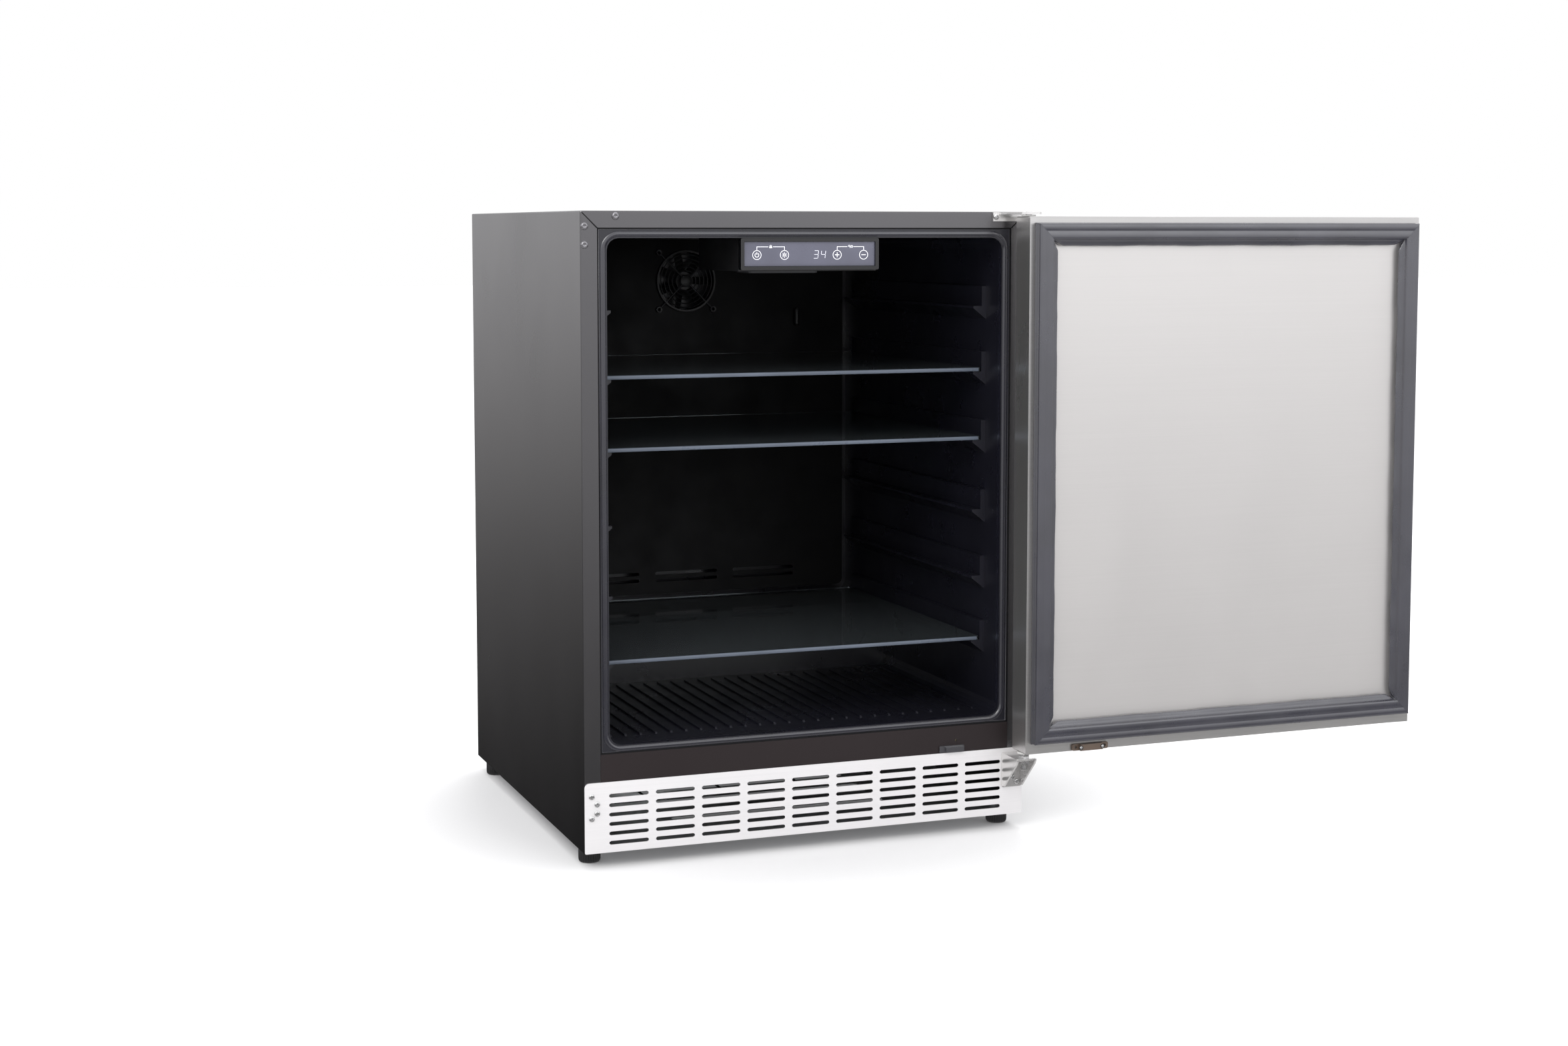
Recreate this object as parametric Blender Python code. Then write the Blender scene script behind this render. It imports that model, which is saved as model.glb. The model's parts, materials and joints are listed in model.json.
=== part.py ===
"""Undercounter beverage refrigerator with its door swung fully open.

The cabinet is described in millimetres in its own frame: x runs from its left side to its
right, y from its front flange to its back, z up from the lower edge of its outer shell.
The door is described closed, about its hinge axis, and the door_pivot empty turns it open.
"""
import math

import bmesh
import bpy
from mathutils import Matrix, Vector
from mathutils.geometry import tessellate_polygon

MM = 0.001
GAP = 0.3  # clearance between pieces that touch on the real thing

# Outer shell
WIDTH = 597.0
DEPTH = 581.5
HEIGHT = 791.0
SHEET = 0.8
FLANGE_SIDE = 21.0
FLANGE_TOP = 20.5
EDGE_RADIUS = 1.5
MITRE_SLIT = 1.3
MITRE_INSET = 2.2

# Inner compartment
OPEN_LEFT = 33.5
OPEN_RIGHT = WIDTH - OPEN_LEFT
FLOOR_Z = 133.0
CEILING_Z = 758.0
CORNER_RADIUS = 15.0
LINER_WALL = 2.0
LINER_FLANGE_Y = 1.8
BACK_Y = 541.0
STEP_Y = 383.0
STEP_Z = 222.0
LINER_BORDER = 17.0
LINER_BORDER_LOW = 13.0
FLANGE_CORNER = 3.0

# Shelf rails moulded in the liner's side walls
LEDGES = (668.5, 582.5, 492.0, 400.0, 311.5, 225.6)
SHELF_LEVELS = {"upper": 1, "middle": 2, "lower": 5}
RAIL_FRONT = 48.0
RAIL_BACK = 500.0
RAIL_UPSTAND = 6.0
RAIL_REACH = 18.0
RAIL_RISE = 26.0
RAIL_ROOT_DROP = 18.0
RAIL_TIP_DROP = 3.0
SHELF_THICK = 5.0

# Floor ribs
RIB_COUNT = 26
RIB_PITCH = 20.0
RIB_WIDTH = 3.0
RIB_HEIGHT = 2.0
RIB_FRONT = 50.0

# Front rail and toe grille below the compartment
RAIL_BOTTOM = 89.0
RAIL_TOP = 123.0
GRILLE_TOP = 88.5
GRILLE_SHEET = 1.2
SLOT_COLUMNS = 9
SLOT_ROWS = 6
SLOT_LEFT = 31.0
SLOT_WIDTH = 51.5
SLOT_HEIGHT = 4.8
SLOT_PITCH_X = 60.4
SLOT_TOP_Z = 71.1
SLOT_PITCH_Z = 11.84

# Machine compartment behind the grille
DECK_Z = 92.2
DECK_BACK_Z = 186.0
DECK_STEP_Y = 419.0
REAR_COVER_Y = 569.0
BASE_Z = 1.2

# Door and hinge, the door given from its hinge axis
HINGE_X = 582.5
HINGE_Y = -37.0
DOOR_FREE = -577.0
DOOR_HINGE_EDGE = 9.0
DOOR_OUT = -18.0
DOOR_IN = 22.0
DOOR_BOTTOM = 91.5
DOOR_TOP = 785.0
DOOR_OPEN_DEG = 180.0
DOOR_RETURN = 22.0
PIN_RADIUS = 4.0
PIN_CLEARANCE = 0.3
GASKET_HEIGHT = 14.5
GASKET_WIDTH = 30.0
GASKET_SIDE = 7.0
GASKET_TOP = 8.0
GASKET_BOTTOM = 13.5

# Handle on the door's outer face
HANDLE_X = DOOR_FREE + 45.0
HANDLE_BOTTOM = 210.0
HANDLE_TOP = 718.0
HANDLE_RADIUS = 9.5
HANDLE_STANDOFF = 42.0
HANDLE_POST_INSET = 25.0

# Hole patterns, the right-hand side mirrored
BOTTOM_HINGE_HOLES = ((8.9, 71.7), (15.7, 61.7), (15.7, 50.2), (8.9, 43.9))
TOP_HINGE_HOLES = ((44.2, 784.6), (5.1, 772.4), (5.1, 749.9))

# Screws, their holes and the hinge plates
SCREW_HOLE = 2.2
SCREW_HEAD = 3.8
SCREW_SHANK = 1.8
HINGE_PLATE = 2.5
HINGE_HEXAGON = 7.4
HINGE_LEFT = 567.0
HINGE_RIGHT = 595.0
HINGE_SHELF_LOW = 80.5

# Door bushes, handle posts and the switch magnet
BUSH_WELL = 6.5
BUSH_BODY = 6.2
BUSH_FLANGE = 9.0
POST_RADIUS = 7.5
POST_SCREW = 2.8
MAGNET_LEFT = -109.3
MAGNET_RIGHT = -57.1
MAGNET_TAB = 10.0

# Levelling feet
FOOT_HEIGHT = 20.0
FOOT_RADIUS = 14.0
FOOT_CENTRES = {
    "front_left": (17.0, 40.0),
    "front_right": (580.0, 40.0),
    "rear_left": (17.0, 540.0),
    "rear_right": (580.0, 540.0),
}

# Fans
EVAP_FAN_CENTRE = (298.5, 694.0)
EVAP_FAN_RADIUS = 46.0
LUG_OFFSET = 41.25
COVER_Y = 507.0
CONDENSER_FAN_CENTRE = (116.0, 66.0)
CONDENSER_FAN_Y = 436.0

# Machine compartment
COMPRESSOR_CENTRE = (420.0, 494.0)
COMPRESSOR_FOOT = (84.0, 50.0)
CONDENSER_Z = 52.0
CONDENSER_TUBE = 2.6
GLAND_CENTRE = (70.0, 60.0)
DRIER_CENTRE = (545.0, 495.0, 120.0)
PAN_WALL = 2.0

# Control housing under the ceiling
PANEL_LEFT = 205.5
PANEL_RIGHT = 390.5
PANEL_BOTTOM = 718.0
PANEL_TOP = CEILING_Z - GAP
PANEL_DEPTH = 165.0
BEZEL_BORDER = 4.5
BEZEL_DEPTH = 9.7

# The row's origin: middle of the footprint, on the floor
DOOR_FREE_OPEN = HINGE_X - DOOR_FREE
GASKET_FRONT_OPEN = HINGE_Y - DOOR_IN - GASKET_HEIGHT
ORIGIN = Vector((DOOR_FREE_OPEN / 2, (DEPTH + GASKET_FRONT_OPEN) / 2, -FOOT_HEIGHT))

MATERIALS = {
    "charcoal_paint": ((0.055, 0.054, 0.058), 0.42, 0.5),
    "brown_black_paint": ((0.035, 0.030, 0.027), 0.5, 0.4),
    "liner_plastic": ((0.012, 0.012, 0.014), 0.35, 0.0),
    "stainless": ((0.62, 0.60, 0.58), 0.28, 1.0),
    "bright_stainless": ((0.80, 0.79, 0.78), 0.24, 1.0),
    "galvanised": ((0.45, 0.46, 0.47), 0.45, 1.0),
    "zinc": ((0.60, 0.61, 0.62), 0.30, 1.0),
    "foam": ((0.75, 0.68, 0.48), 0.95, 0.0),
    "vinyl_grey": ((0.20, 0.195, 0.19), 0.55, 0.0),
    "black_plastic": ((0.014, 0.014, 0.015), 0.45, 0.0),
    "white_nylon": ((0.80, 0.80, 0.78), 0.4, 0.0),
    "tinted_glass": ((0.10, 0.13, 0.12), 0.05, 0.0),
    "display_grey": ((0.22, 0.23, 0.28), 0.35, 0.0),
    "clear_bezel": ((0.10, 0.10, 0.11), 0.15, 0.0),
    "circuit_green": ((0.02, 0.14, 0.06), 0.4, 0.0),
    "copper": ((0.72, 0.36, 0.22), 0.35, 1.0),
    "aluminium": ((0.70, 0.71, 0.72), 0.35, 1.0),
    "compressor_black": ((0.015, 0.015, 0.016), 0.3, 0.3),
    "lamp_lens": ((0.85, 0.87, 0.90), 0.3, 0.0),
}


# ---------------------------------------------------------------- outlines

def arc(centre, radius, start_deg, end_deg, steps):
    """Points along an arc, both ends included."""
    points = []
    for i in range(steps + 1):
        angle = math.radians(start_deg + (end_deg - start_deg) * i / steps)
        points.append((centre[0] + radius * math.cos(angle), centre[1] + radius * math.sin(angle)))
    return points


def circle(centre, radius, steps):
    return arc(centre, radius, 0.0, 360.0 * (steps - 1) / steps, steps - 1)


def rectangle(left, low, right, high):
    return [(left, low), (right, low), (right, high), (left, high)]


def rounded(left, low, right, high, radius, steps=4):
    """Rectangle with rounded corners, anticlockwise."""
    corners = (
        ((right - radius, low + radius), -90.0),
        ((right - radius, high - radius), 0.0),
        ((left + radius, high - radius), 90.0),
        ((left + radius, low + radius), 180.0),
    )
    return [p for centre, start in corners for p in arc(centre, radius, start, start + 90.0, steps)]


def slot(left, middle_z, width, height, steps=3):
    """Horizontal slot with half-round ends."""
    radius = height / 2
    return (arc((left + width - radius, middle_z), radius, -90.0, 90.0, steps)
            + arc((left + radius, middle_z), radius, 90.0, 270.0, steps))


def mirrored(points):
    """Hole centres mirrored to the cabinet's right-hand side."""
    return [(WIDTH - x, z) for x, z in points]


# ---------------------------------------------------------------- solids

PLACE = {
    "X": lambda a, b, t: (t, a, b),
    "Y": lambda a, b, t: (a, t, b),
    "Z": lambda a, b, t: (a, b, t),
}


def solid_from(points, faces):
    solid = bmesh.new()
    verts = [solid.verts.new(p) for p in points]
    for face in faces:
        solid.faces.new([verts[i] for i in face])
    bmesh.ops.recalc_face_normals(solid, faces=solid.faces)
    return solid


def prism(loops, axis, low, high):
    """Outline, with any further loops as holes in it, extruded along one axis."""
    flat = [point for loop in loops for point in loop]
    caps = tessellate_polygon([[Vector((a, b, 0.0)) for a, b in loop] for loop in loops])
    place = PLACE[axis]
    points = [place(a, b, low) for a, b in flat] + [place(a, b, high) for a, b in flat]
    count = len(flat)
    faces = [tuple(cap) for cap in caps] + [tuple(i + count for i in cap) for cap in caps]
    start = 0
    for loop in loops:
        for i in range(len(loop)):
            here = start + i
            after = start + (i + 1) % len(loop)
            faces.append((here, after, after + count, here + count))
        start += len(loop)
    return solid_from(points, faces)


def block(low, high):
    return prism([rectangle(low[0], low[1], high[0], high[1])], "Z", low[2], high[2])


def cylinder(axis, centre, radius, low, high, steps=12):
    return prism([circle(centre, radius, steps)], axis, low, high)


def turned(profile, steps=16):
    """Solid of revolution about z from (radius, z) points that start and end on the axis."""
    points = [(0.0, 0.0, profile[0][1])]
    for i in range(steps):
        angle = math.tau * i / steps
        points += [(r * math.cos(angle), r * math.sin(angle), z) for r, z in profile[1:-1]]
    points.append((0.0, 0.0, profile[-1][1]))
    rings = len(profile) - 2
    last = len(points) - 1
    faces = []
    for i in range(steps):
        a = 1 + i * rings
        b = 1 + (i + 1) % steps * rings
        faces.append((0, a, b))
        faces.append((last, b + rings - 1, a + rings - 1))
        faces += [(a + k, a + k + 1, b + k + 1, b + k) for k in range(rings - 1)]
    return solid_from(points, faces)


def ring_turned(profile, steps=16):
    """Ring of revolution about z from a closed loop of (radius, z) points."""
    count = len(profile)
    points = []
    for i in range(steps):
        angle = math.tau * i / steps
        points += [(r * math.cos(angle), r * math.sin(angle), z) for r, z in profile]
    faces = []
    for i in range(steps):
        a = i * count
        b = (i + 1) % steps * count
        faces += [(a + k, a + (k + 1) % count, b + (k + 1) % count, b + k) for k in range(count)]
    return solid_from(points, faces)


def serpentine(runs, pitch, length, bend_steps=5):
    """Path of parallel runs along a, stepping along b, joined by half-round bends."""
    path = []
    radius = pitch / 2
    for i in range(runs):
        forward = i % 2 == 0
        b = i * pitch
        path += [(0.0, b), (length, b)] if forward else [(length, b), (0.0, b)]
        if i < runs - 1:
            middle = (length if forward else 0.0, b + radius)
            ends = (-90.0, 90.0) if forward else (270.0, 90.0)
            path += arc(middle, radius, ends[0], ends[1], bend_steps)[1:-1]
    return path


def pipe(path, radius, steps=8):
    """Tube of constant section swept along 3-D points that lie in one plane or turn gently."""
    path = [Vector(p) for p in path]
    points = []
    side = None
    for i, here in enumerate(path):
        before = path[max(i - 1, 0)]
        after = path[min(i + 1, len(path) - 1)]
        tangent = (after - before).normalized()
        if side is None:
            side = tangent.orthogonal()
        side = (side - tangent * side.dot(tangent)).normalized()
        other = tangent.cross(side)
        for k in range(steps):
            angle = math.tau * k / steps
            points.append(here + radius * (math.cos(angle) * side + math.sin(angle) * other))
    faces = [tuple(reversed(range(steps)))]
    for i in range(len(path) - 1):
        a = i * steps
        b = a + steps
        faces += [(a + k, a + (k + 1) % steps, b + (k + 1) % steps, b + k) for k in range(steps)]
    faces.append(tuple(range((len(path) - 1) * steps, len(path) * steps)))
    return solid_from(points, faces)


def moved(solid, offset=(0.0, 0.0, 0.0), turn=None):
    """The same solid turned by a matrix and then moved."""
    if turn is not None:
        solid.transform(turn)
    solid.transform(Matrix.Translation(offset))
    return solid


def together(solids):
    """Several solids in one mesh."""
    whole = bmesh.new()
    for solid in solids:
        mesh = bpy.data.meshes.new("scratch")
        solid.to_mesh(mesh)
        solid.free()
        whole.from_mesh(mesh)
        bpy.data.meshes.remove(mesh)
    return whole


# ---------------------------------------------------------------- objects

def clear_scene():
    for old in list(bpy.data.objects):
        bpy.data.objects.remove(old)


def make_material(name):
    colour, roughness, metallic = MATERIALS[name]
    material = bpy.data.materials.get(name) or bpy.data.materials.new(name)
    material.use_nodes = True
    shader = material.node_tree.nodes["Principled BSDF"]
    shader.inputs["Base Color"].default_value = (*colour, 1.0)
    shader.inputs["Roughness"].default_value = roughness
    shader.inputs["Metallic"].default_value = metallic
    return material


def make_empty(name, location, parent=None):
    empty = bpy.data.objects.new(name, None)
    empty.location = Vector(location) * MM
    empty.parent = parent
    bpy.context.collection.objects.link(empty)
    return empty


def make_object(name, solid, parent, at=(0.0, 0.0, 0.0)):
    solid.transform(Matrix.Scale(MM, 4))
    mesh = bpy.data.meshes.new(name)
    solid.to_mesh(mesh)
    solid.free()
    piece = bpy.data.objects.new(name, mesh)
    piece.location = Vector(at) * MM
    piece.parent = parent
    bpy.context.collection.objects.link(piece)
    return piece


def add_part(name, solid, material, parent, at=(0.0, 0.0, 0.0), smooth=False):
    piece = make_object(name, solid, parent, at)
    piece.data.materials.append(make_material(material))
    if smooth:
        piece.data.shade_smooth()
        piece.data.set_sharp_from_angle(angle=math.radians(35.0))
    return piece


def combine(piece, solids, operation):
    """Boolean a group of solids, given in the piece's own frame, with the piece."""
    tool = make_object(f"{operation.lower()}_{piece.name}", together(solids), piece.parent,
                       piece.location / MM)
    tool.hide_render = True
    tool.display_type = "WIRE"
    modifier = piece.modifiers.new(operation.title(), "BOOLEAN")
    modifier.operation = operation
    modifier.object = tool
    modifier.use_self = operation == "UNION"


def cut(piece, *solids):
    combine(piece, solids, "DIFFERENCE")


def fuse(piece, *solids):
    combine(piece, solids, "UNION")


# ---------------------------------------------------------------- cabinet shell

def rounded_case(low, high, radius):
    """Block whose front, top and upright outer edges are slightly rounded."""
    case = block(low, high)
    edges = [e for e in case.edges
             if not all(v.co.y > high[1] - 1.0 for v in e.verts)
             and not all(v.co.z < low[2] + 1.0 for v in e.verts)]
    bmesh.ops.bevel(case, geom=edges, offset=radius, segments=2, profile=0.5, affect="EDGES")
    return case


def mitre_slit(inner, outer):
    """Thin upright blade along the open mitre between the side and top flanges."""
    start = Vector((inner[0], 0.0, inner[1]))
    end = Vector((outer[0], 0.0, outer[1]))
    length = (end - start).length
    blade = block((0.0, -1.0, -MITRE_SLIT / 2), (length, SHEET - 0.2 + 1.0, MITRE_SLIT / 2))
    angle = math.atan2(end.z - start.z, end.x - start.x)
    return moved(blade, start - Vector((0.0, 0.6, 0.0)), Matrix.Rotation(-angle, 4, "Y"))


def make_wrapper(frame):
    wrapper = add_part("wrapper", rounded_case((0.0, 0.0, 0.0), (WIDTH, DEPTH, HEIGHT), EDGE_RADIUS),
                       "charcoal_paint", frame)
    inside = block((SHEET, SHEET, -1.0), (WIDTH - SHEET, DEPTH + 1.0, HEIGHT - SHEET))
    window = block((FLANGE_SIDE, -1.0, -1.0),
                   (WIDTH - FLANGE_SIDE, SHEET + 1.0, HEIGHT - FLANGE_TOP))
    plug_holes = TOP_HINGE_HOLES + tuple(mirrored(TOP_HINGE_HOLES))
    screw_holes = BOTTOM_HINGE_HOLES + tuple(mirrored(BOTTOM_HINGE_HOLES))
    drills = [cylinder("Y", hole, SCREW_HOLE, -1.0, SHEET + 1.0, 8) for hole in plug_holes + screw_holes]
    cut(wrapper, inside)
    cut(wrapper, window)
    cut(wrapper, *drills)
    inner_z = HEIGHT - FLANGE_TOP
    outer_z = HEIGHT - MITRE_INSET
    cut(wrapper, mitre_slit((FLANGE_SIDE + 0.5, inner_z - 0.5), (MITRE_INSET, outer_z)))
    cut(wrapper, mitre_slit((WIDTH - FLANGE_SIDE - 0.5, inner_z - 0.5), (WIDTH - MITRE_INSET, outer_z)))


def compartment(grow, front):
    """The stepped inner compartment, grown outwards by a wall or a gap, as two blocks."""
    radius = CORNER_RADIUS + grow
    left = OPEN_LEFT - grow
    right = OPEN_RIGHT + grow
    top = CEILING_Z + grow
    lower = prism([rounded(left, FLOOR_Z - grow, right, top, radius)], "Y", front, STEP_Y + grow)
    upper = prism([rounded(left, STEP_Z - grow, right, top, radius)], "Y",
                  STEP_Y - 60.0, BACK_Y + grow)
    return lower, upper


def rail(ledge, side):
    """One shelf rail: upstand, ledge and sloping underside, rooted in the side wall."""
    wall = OPEN_LEFT - 1.0
    upstand = OPEN_LEFT + RAIL_UPSTAND
    tip = OPEN_LEFT + RAIL_REACH
    top = [(tip, ledge), (upstand, ledge), (upstand, ledge + RAIL_RISE), (wall, ledge + RAIL_RISE)]
    sloping = [(wall, ledge - RAIL_ROOT_DROP), (tip, ledge - RAIL_TIP_DROP), *top]
    corner = (OPEN_LEFT + CORNER_RADIUS, STEP_Z + CORNER_RADIUS)
    over_step = [*arc(corner, CORNER_RADIUS + 1.0, 180.0, 270.0, 4), (tip, STEP_Z - 1.0), *top]
    if side == "right":
        sloping = mirrored(sloping)
        over_step = mirrored(over_step)
    if ledge - RAIL_REACH > STEP_Z:
        return [prism([sloping], "Y", RAIL_FRONT, RAIL_BACK)]
    return [prism([sloping], "Y", RAIL_FRONT, STEP_Y + 1.0),
            prism([over_step], "Y", STEP_Y - 1.0, RAIL_BACK)]


def floor_rib(index):
    middle = WIDTH / 2 + (index - (RIB_COUNT - 1) / 2) * RIB_PITCH
    half = RIB_WIDTH / 2
    side = [(RIB_FRONT, FLOOR_Z - 1.0), (STEP_Y - 20.0, FLOOR_Z - 1.0),
            (STEP_Y - 20.0, FLOOR_Z + RIB_HEIGHT), (RIB_FRONT + 2.0, FLOOR_Z + RIB_HEIGHT),
            (RIB_FRONT, FLOOR_Z + 0.5)]
    return prism([side], "X", middle - half, middle + half)


def make_liner(frame):
    flange_outline = rounded(OPEN_LEFT - LINER_BORDER, FLOOR_Z - LINER_BORDER_LOW,
                             OPEN_RIGHT + LINER_BORDER, CEILING_Z + LINER_BORDER, FLANGE_CORNER, 2)
    flange = prism([flange_outline], "Y", LINER_FLANGE_Y, LINER_FLANGE_Y + LINER_WALL)
    liner = add_part("liner", flange, "liner_plastic", frame)
    fuse(liner, *compartment(LINER_WALL, LINER_FLANGE_Y + 0.5))
    lower, upper = compartment(0.0, -5.0)
    cut(liner, lower)
    cut(liner, upper)
    rails = [piece for ledge in LEDGES for side in ("left", "right") for piece in rail(ledge, side)]
    fuse(liner, *rails, *[floor_rib(i) for i in range(RIB_COUNT)])


def make_foam(frame):
    """Insulation between the shell and the liner, stepped over the machine compartment."""
    edge = SHEET + GAP
    low_z = DECK_Z + SHEET + GAP
    step_z = DECK_BACK_Z + SHEET + GAP
    front = LINER_FLANGE_Y + LINER_WALL + GAP
    back = DEPTH - SHEET - 2 * GAP
    side = [(front, low_z), (DECK_STEP_Y - GAP, low_z), (DECK_STEP_Y - GAP, step_z), (back, step_z),
            (back, HEIGHT - edge), (front, HEIGHT - edge)]
    foam = add_part("cabinet_foam", prism([side], "X", edge, WIDTH - edge), "foam", frame)
    lower, upper = compartment(LINER_WALL + GAP, -5.0)
    cut(foam, lower)
    cut(foam, upper)


def make_front_rail(frame):
    """Steel cross rail between the liner's flange and the toe grille."""
    left = FLANGE_SIDE + GAP
    right = WIDTH - FLANGE_SIDE - GAP
    face = rectangle(left, RAIL_BOTTOM, right, RAIL_TOP)
    hole = circle((502.0, 104.0), 1.5, 8)
    add_part("front_rail", prism([face, hole], "Y", 0.0, SHEET), "brown_black_paint", frame)


def grille_outline():
    corner = 6.0
    small = 1.5
    return (arc((WIDTH - small, small), small, -90.0, 0.0, 2)
            + arc((WIDTH - small, GRILLE_TOP - small), small, 0.0, 90.0, 2)
            + arc((corner, GRILLE_TOP - corner), corner, 90.0, 180.0, 5)
            + arc((small, small), small, 180.0, 270.0, 2))


def make_toe_grille(frame):
    slots = [slot(SLOT_LEFT + column * SLOT_PITCH_X, SLOT_TOP_Z - row * SLOT_PITCH_Z,
                  SLOT_WIDTH, SLOT_HEIGHT)
             for column in range(SLOT_COLUMNS) for row in range(SLOT_ROWS)]
    holes = [circle(p, SCREW_HOLE, 8) for p in BOTTOM_HINGE_HOLES + tuple(mirrored(BOTTOM_HINGE_HOLES))]
    sheet = prism([grille_outline(), *slots, *holes], "Y", -GAP - GRILLE_SHEET, -GAP)
    add_part("toe_grille", sheet, "bright_stainless", frame)


def make_rear_panel(frame):
    edge = SHEET + GAP
    panel = block((edge, DEPTH - SHEET, DECK_BACK_Z), (WIDTH - edge, DEPTH - 0.1, HEIGHT - edge))
    add_part("rear_panel", panel, "galvanised", frame)


def make_deck(frame):
    """Stepped sheet between the insulation and the machine compartment."""
    edge = SHEET + GAP
    front = LINER_FLANGE_Y + LINER_WALL + GAP
    t = SHEET
    side = [(front, DECK_Z), (DECK_STEP_Y + t, DECK_Z), (DECK_STEP_Y + t, DECK_BACK_Z),
            (DEPTH - SHEET - 2 * GAP, DECK_BACK_Z), (DEPTH - SHEET - 2 * GAP, DECK_BACK_Z + t),
            (DECK_STEP_Y, DECK_BACK_Z + t), (DECK_STEP_Y, DECK_Z + t), (front, DECK_Z + t)]
    add_part("machine_deck", prism([side], "X", edge, WIDTH - edge), "galvanised", frame)


def make_base_plate(frame):
    """Bottom sheet with air slots and the weld nuts that take the feet."""
    edge = SHEET + GAP
    top = BASE_Z + 1.2
    outline = rectangle(edge, LINER_FLANGE_Y, WIDTH - edge, DEPTH - 2.0)
    vents = [slot(150.0, 120.0 + 30.0 * i, 300.0, 12.0) for i in range(6)]
    plate = add_part("base_plate", prism([outline, *vents], "Z", BASE_Z, top), "galvanised", frame)
    centres = FOOT_CENTRES.values()
    fuse(plate, *[cylinder("Z", centre, 7.5, top - 0.6, top + 6.0, 6) for centre in centres])
    cut(plate, *[cylinder("Z", centre, 4.6, BASE_Z - 2.0, top + 8.0, 10) for centre in centres])


def make_rear_cover(frame):
    """Vented service cover over the machine compartment."""
    outline = rectangle(3.0, 4.0, WIDTH - 3.0, DECK_BACK_Z - 1.0)
    slots = [slot(60.0 + 130.0 * column, 50.0 + 24.0 * row, 90.0, 10.0)
             for column in range(1, 4) for row in range(4)]
    gland = circle(GLAND_CENTRE, 8.0, 12)
    add_part("rear_cover", prism([outline, *slots, gland], "Y", REAR_COVER_Y, REAR_COVER_Y + 1.0),
             "galvanised", frame)
    body = ring_turned([(5.0, -6.0), (7.6, -6.0), (7.6, 0.0), (7.6, 1.0), (11.0, 1.4), (9.0, 9.0),
                        (5.0, 9.0)], 12)
    turn = Matrix.Rotation(math.radians(-90.0), 4, "X")
    place = (GLAND_CENTRE[0], REAR_COVER_Y, GLAND_CENTRE[1])
    add_part("cord_gland", moved(body, place, turn), "black_plastic", frame, smooth=True)


# ---------------------------------------------------------------- fasteners

def screw(centre, seat_y, length):
    """Pan-head screw seated on a face at seat_y, its shank pointing to the back."""
    profile = [(0.0, -2.3), (SCREW_SHANK, -2.2), (SCREW_HEAD - 0.5, -1.4), (SCREW_HEAD, -0.6),
               (SCREW_HEAD, 0.0), (SCREW_SHANK, 0.0), (SCREW_SHANK, length - 1.5), (0.0, length)]
    body = turned(profile, 10)
    turn = Matrix.Rotation(math.radians(-90.0), 4, "X")
    return moved(body, (centre[0], seat_y - GAP, centre[1]), turn)


def add_screws(name, holes, seat_y, length, frame):
    for i, hole in enumerate(holes, 1):
        add_part(f"{name}_{i}", screw(hole, seat_y, length), "zinc", frame, smooth=True)


# ---------------------------------------------------------------- hinges

def make_top_hinge(frame):
    face = [(549.0, 779.0), (584.0, 779.0), (587.2, 775.8), (587.2, 744.0), (596.0, 744.0),
            (596.0, 790.5), (549.0, 790.5)]
    holes = [circle(p, SCREW_HOLE, 8) for p in mirrored(TOP_HINGE_HOLES)]
    bracket = add_part("top_hinge_bracket", prism([face, *holes], "Y", -GAP - HINGE_PLATE, -GAP),
                       "stainless", frame)
    arm = [(556.0, -1.0), (562.0, -14.0), (569.0, -45.0), (574.0, -50.0), (592.0, -50.0),
           (596.0, -46.0), (596.0, -1.0)]
    pin_hole = circle((HINGE_X, HINGE_Y), PIN_RADIUS + GAP, 12)
    fuse(bracket, prism([arm, pin_hole], "Z", 787.8, 790.5))
    pin = turned([(0.0, 770.0), (3.2, 770.0), (PIN_RADIUS, 771.0), (PIN_RADIUS, 790.8),
                  (6.5, 790.8), (6.0, 791.0), (0.0, 791.0)], 16)
    add_part("top_hinge_pin", pin, "zinc", frame, at=(HINGE_X, HINGE_Y, 0.0), smooth=True)
    add_screws("top_hinge_screw", mirrored(TOP_HINGE_HOLES), -GAP - HINGE_PLATE, 6.0, frame)


def gusset(left, holes=()):
    """Tapering side cheek that carries the hinge shelf."""
    back = -4.0
    side = [(back, 39.0), (-9.0, 39.0), (-46.0, 76.0), (-48.0, 80.0), (-48.0, 82.5), (back, 82.5)]
    return prism([side, *holes], "X", left, left + HINGE_PLATE)


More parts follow.
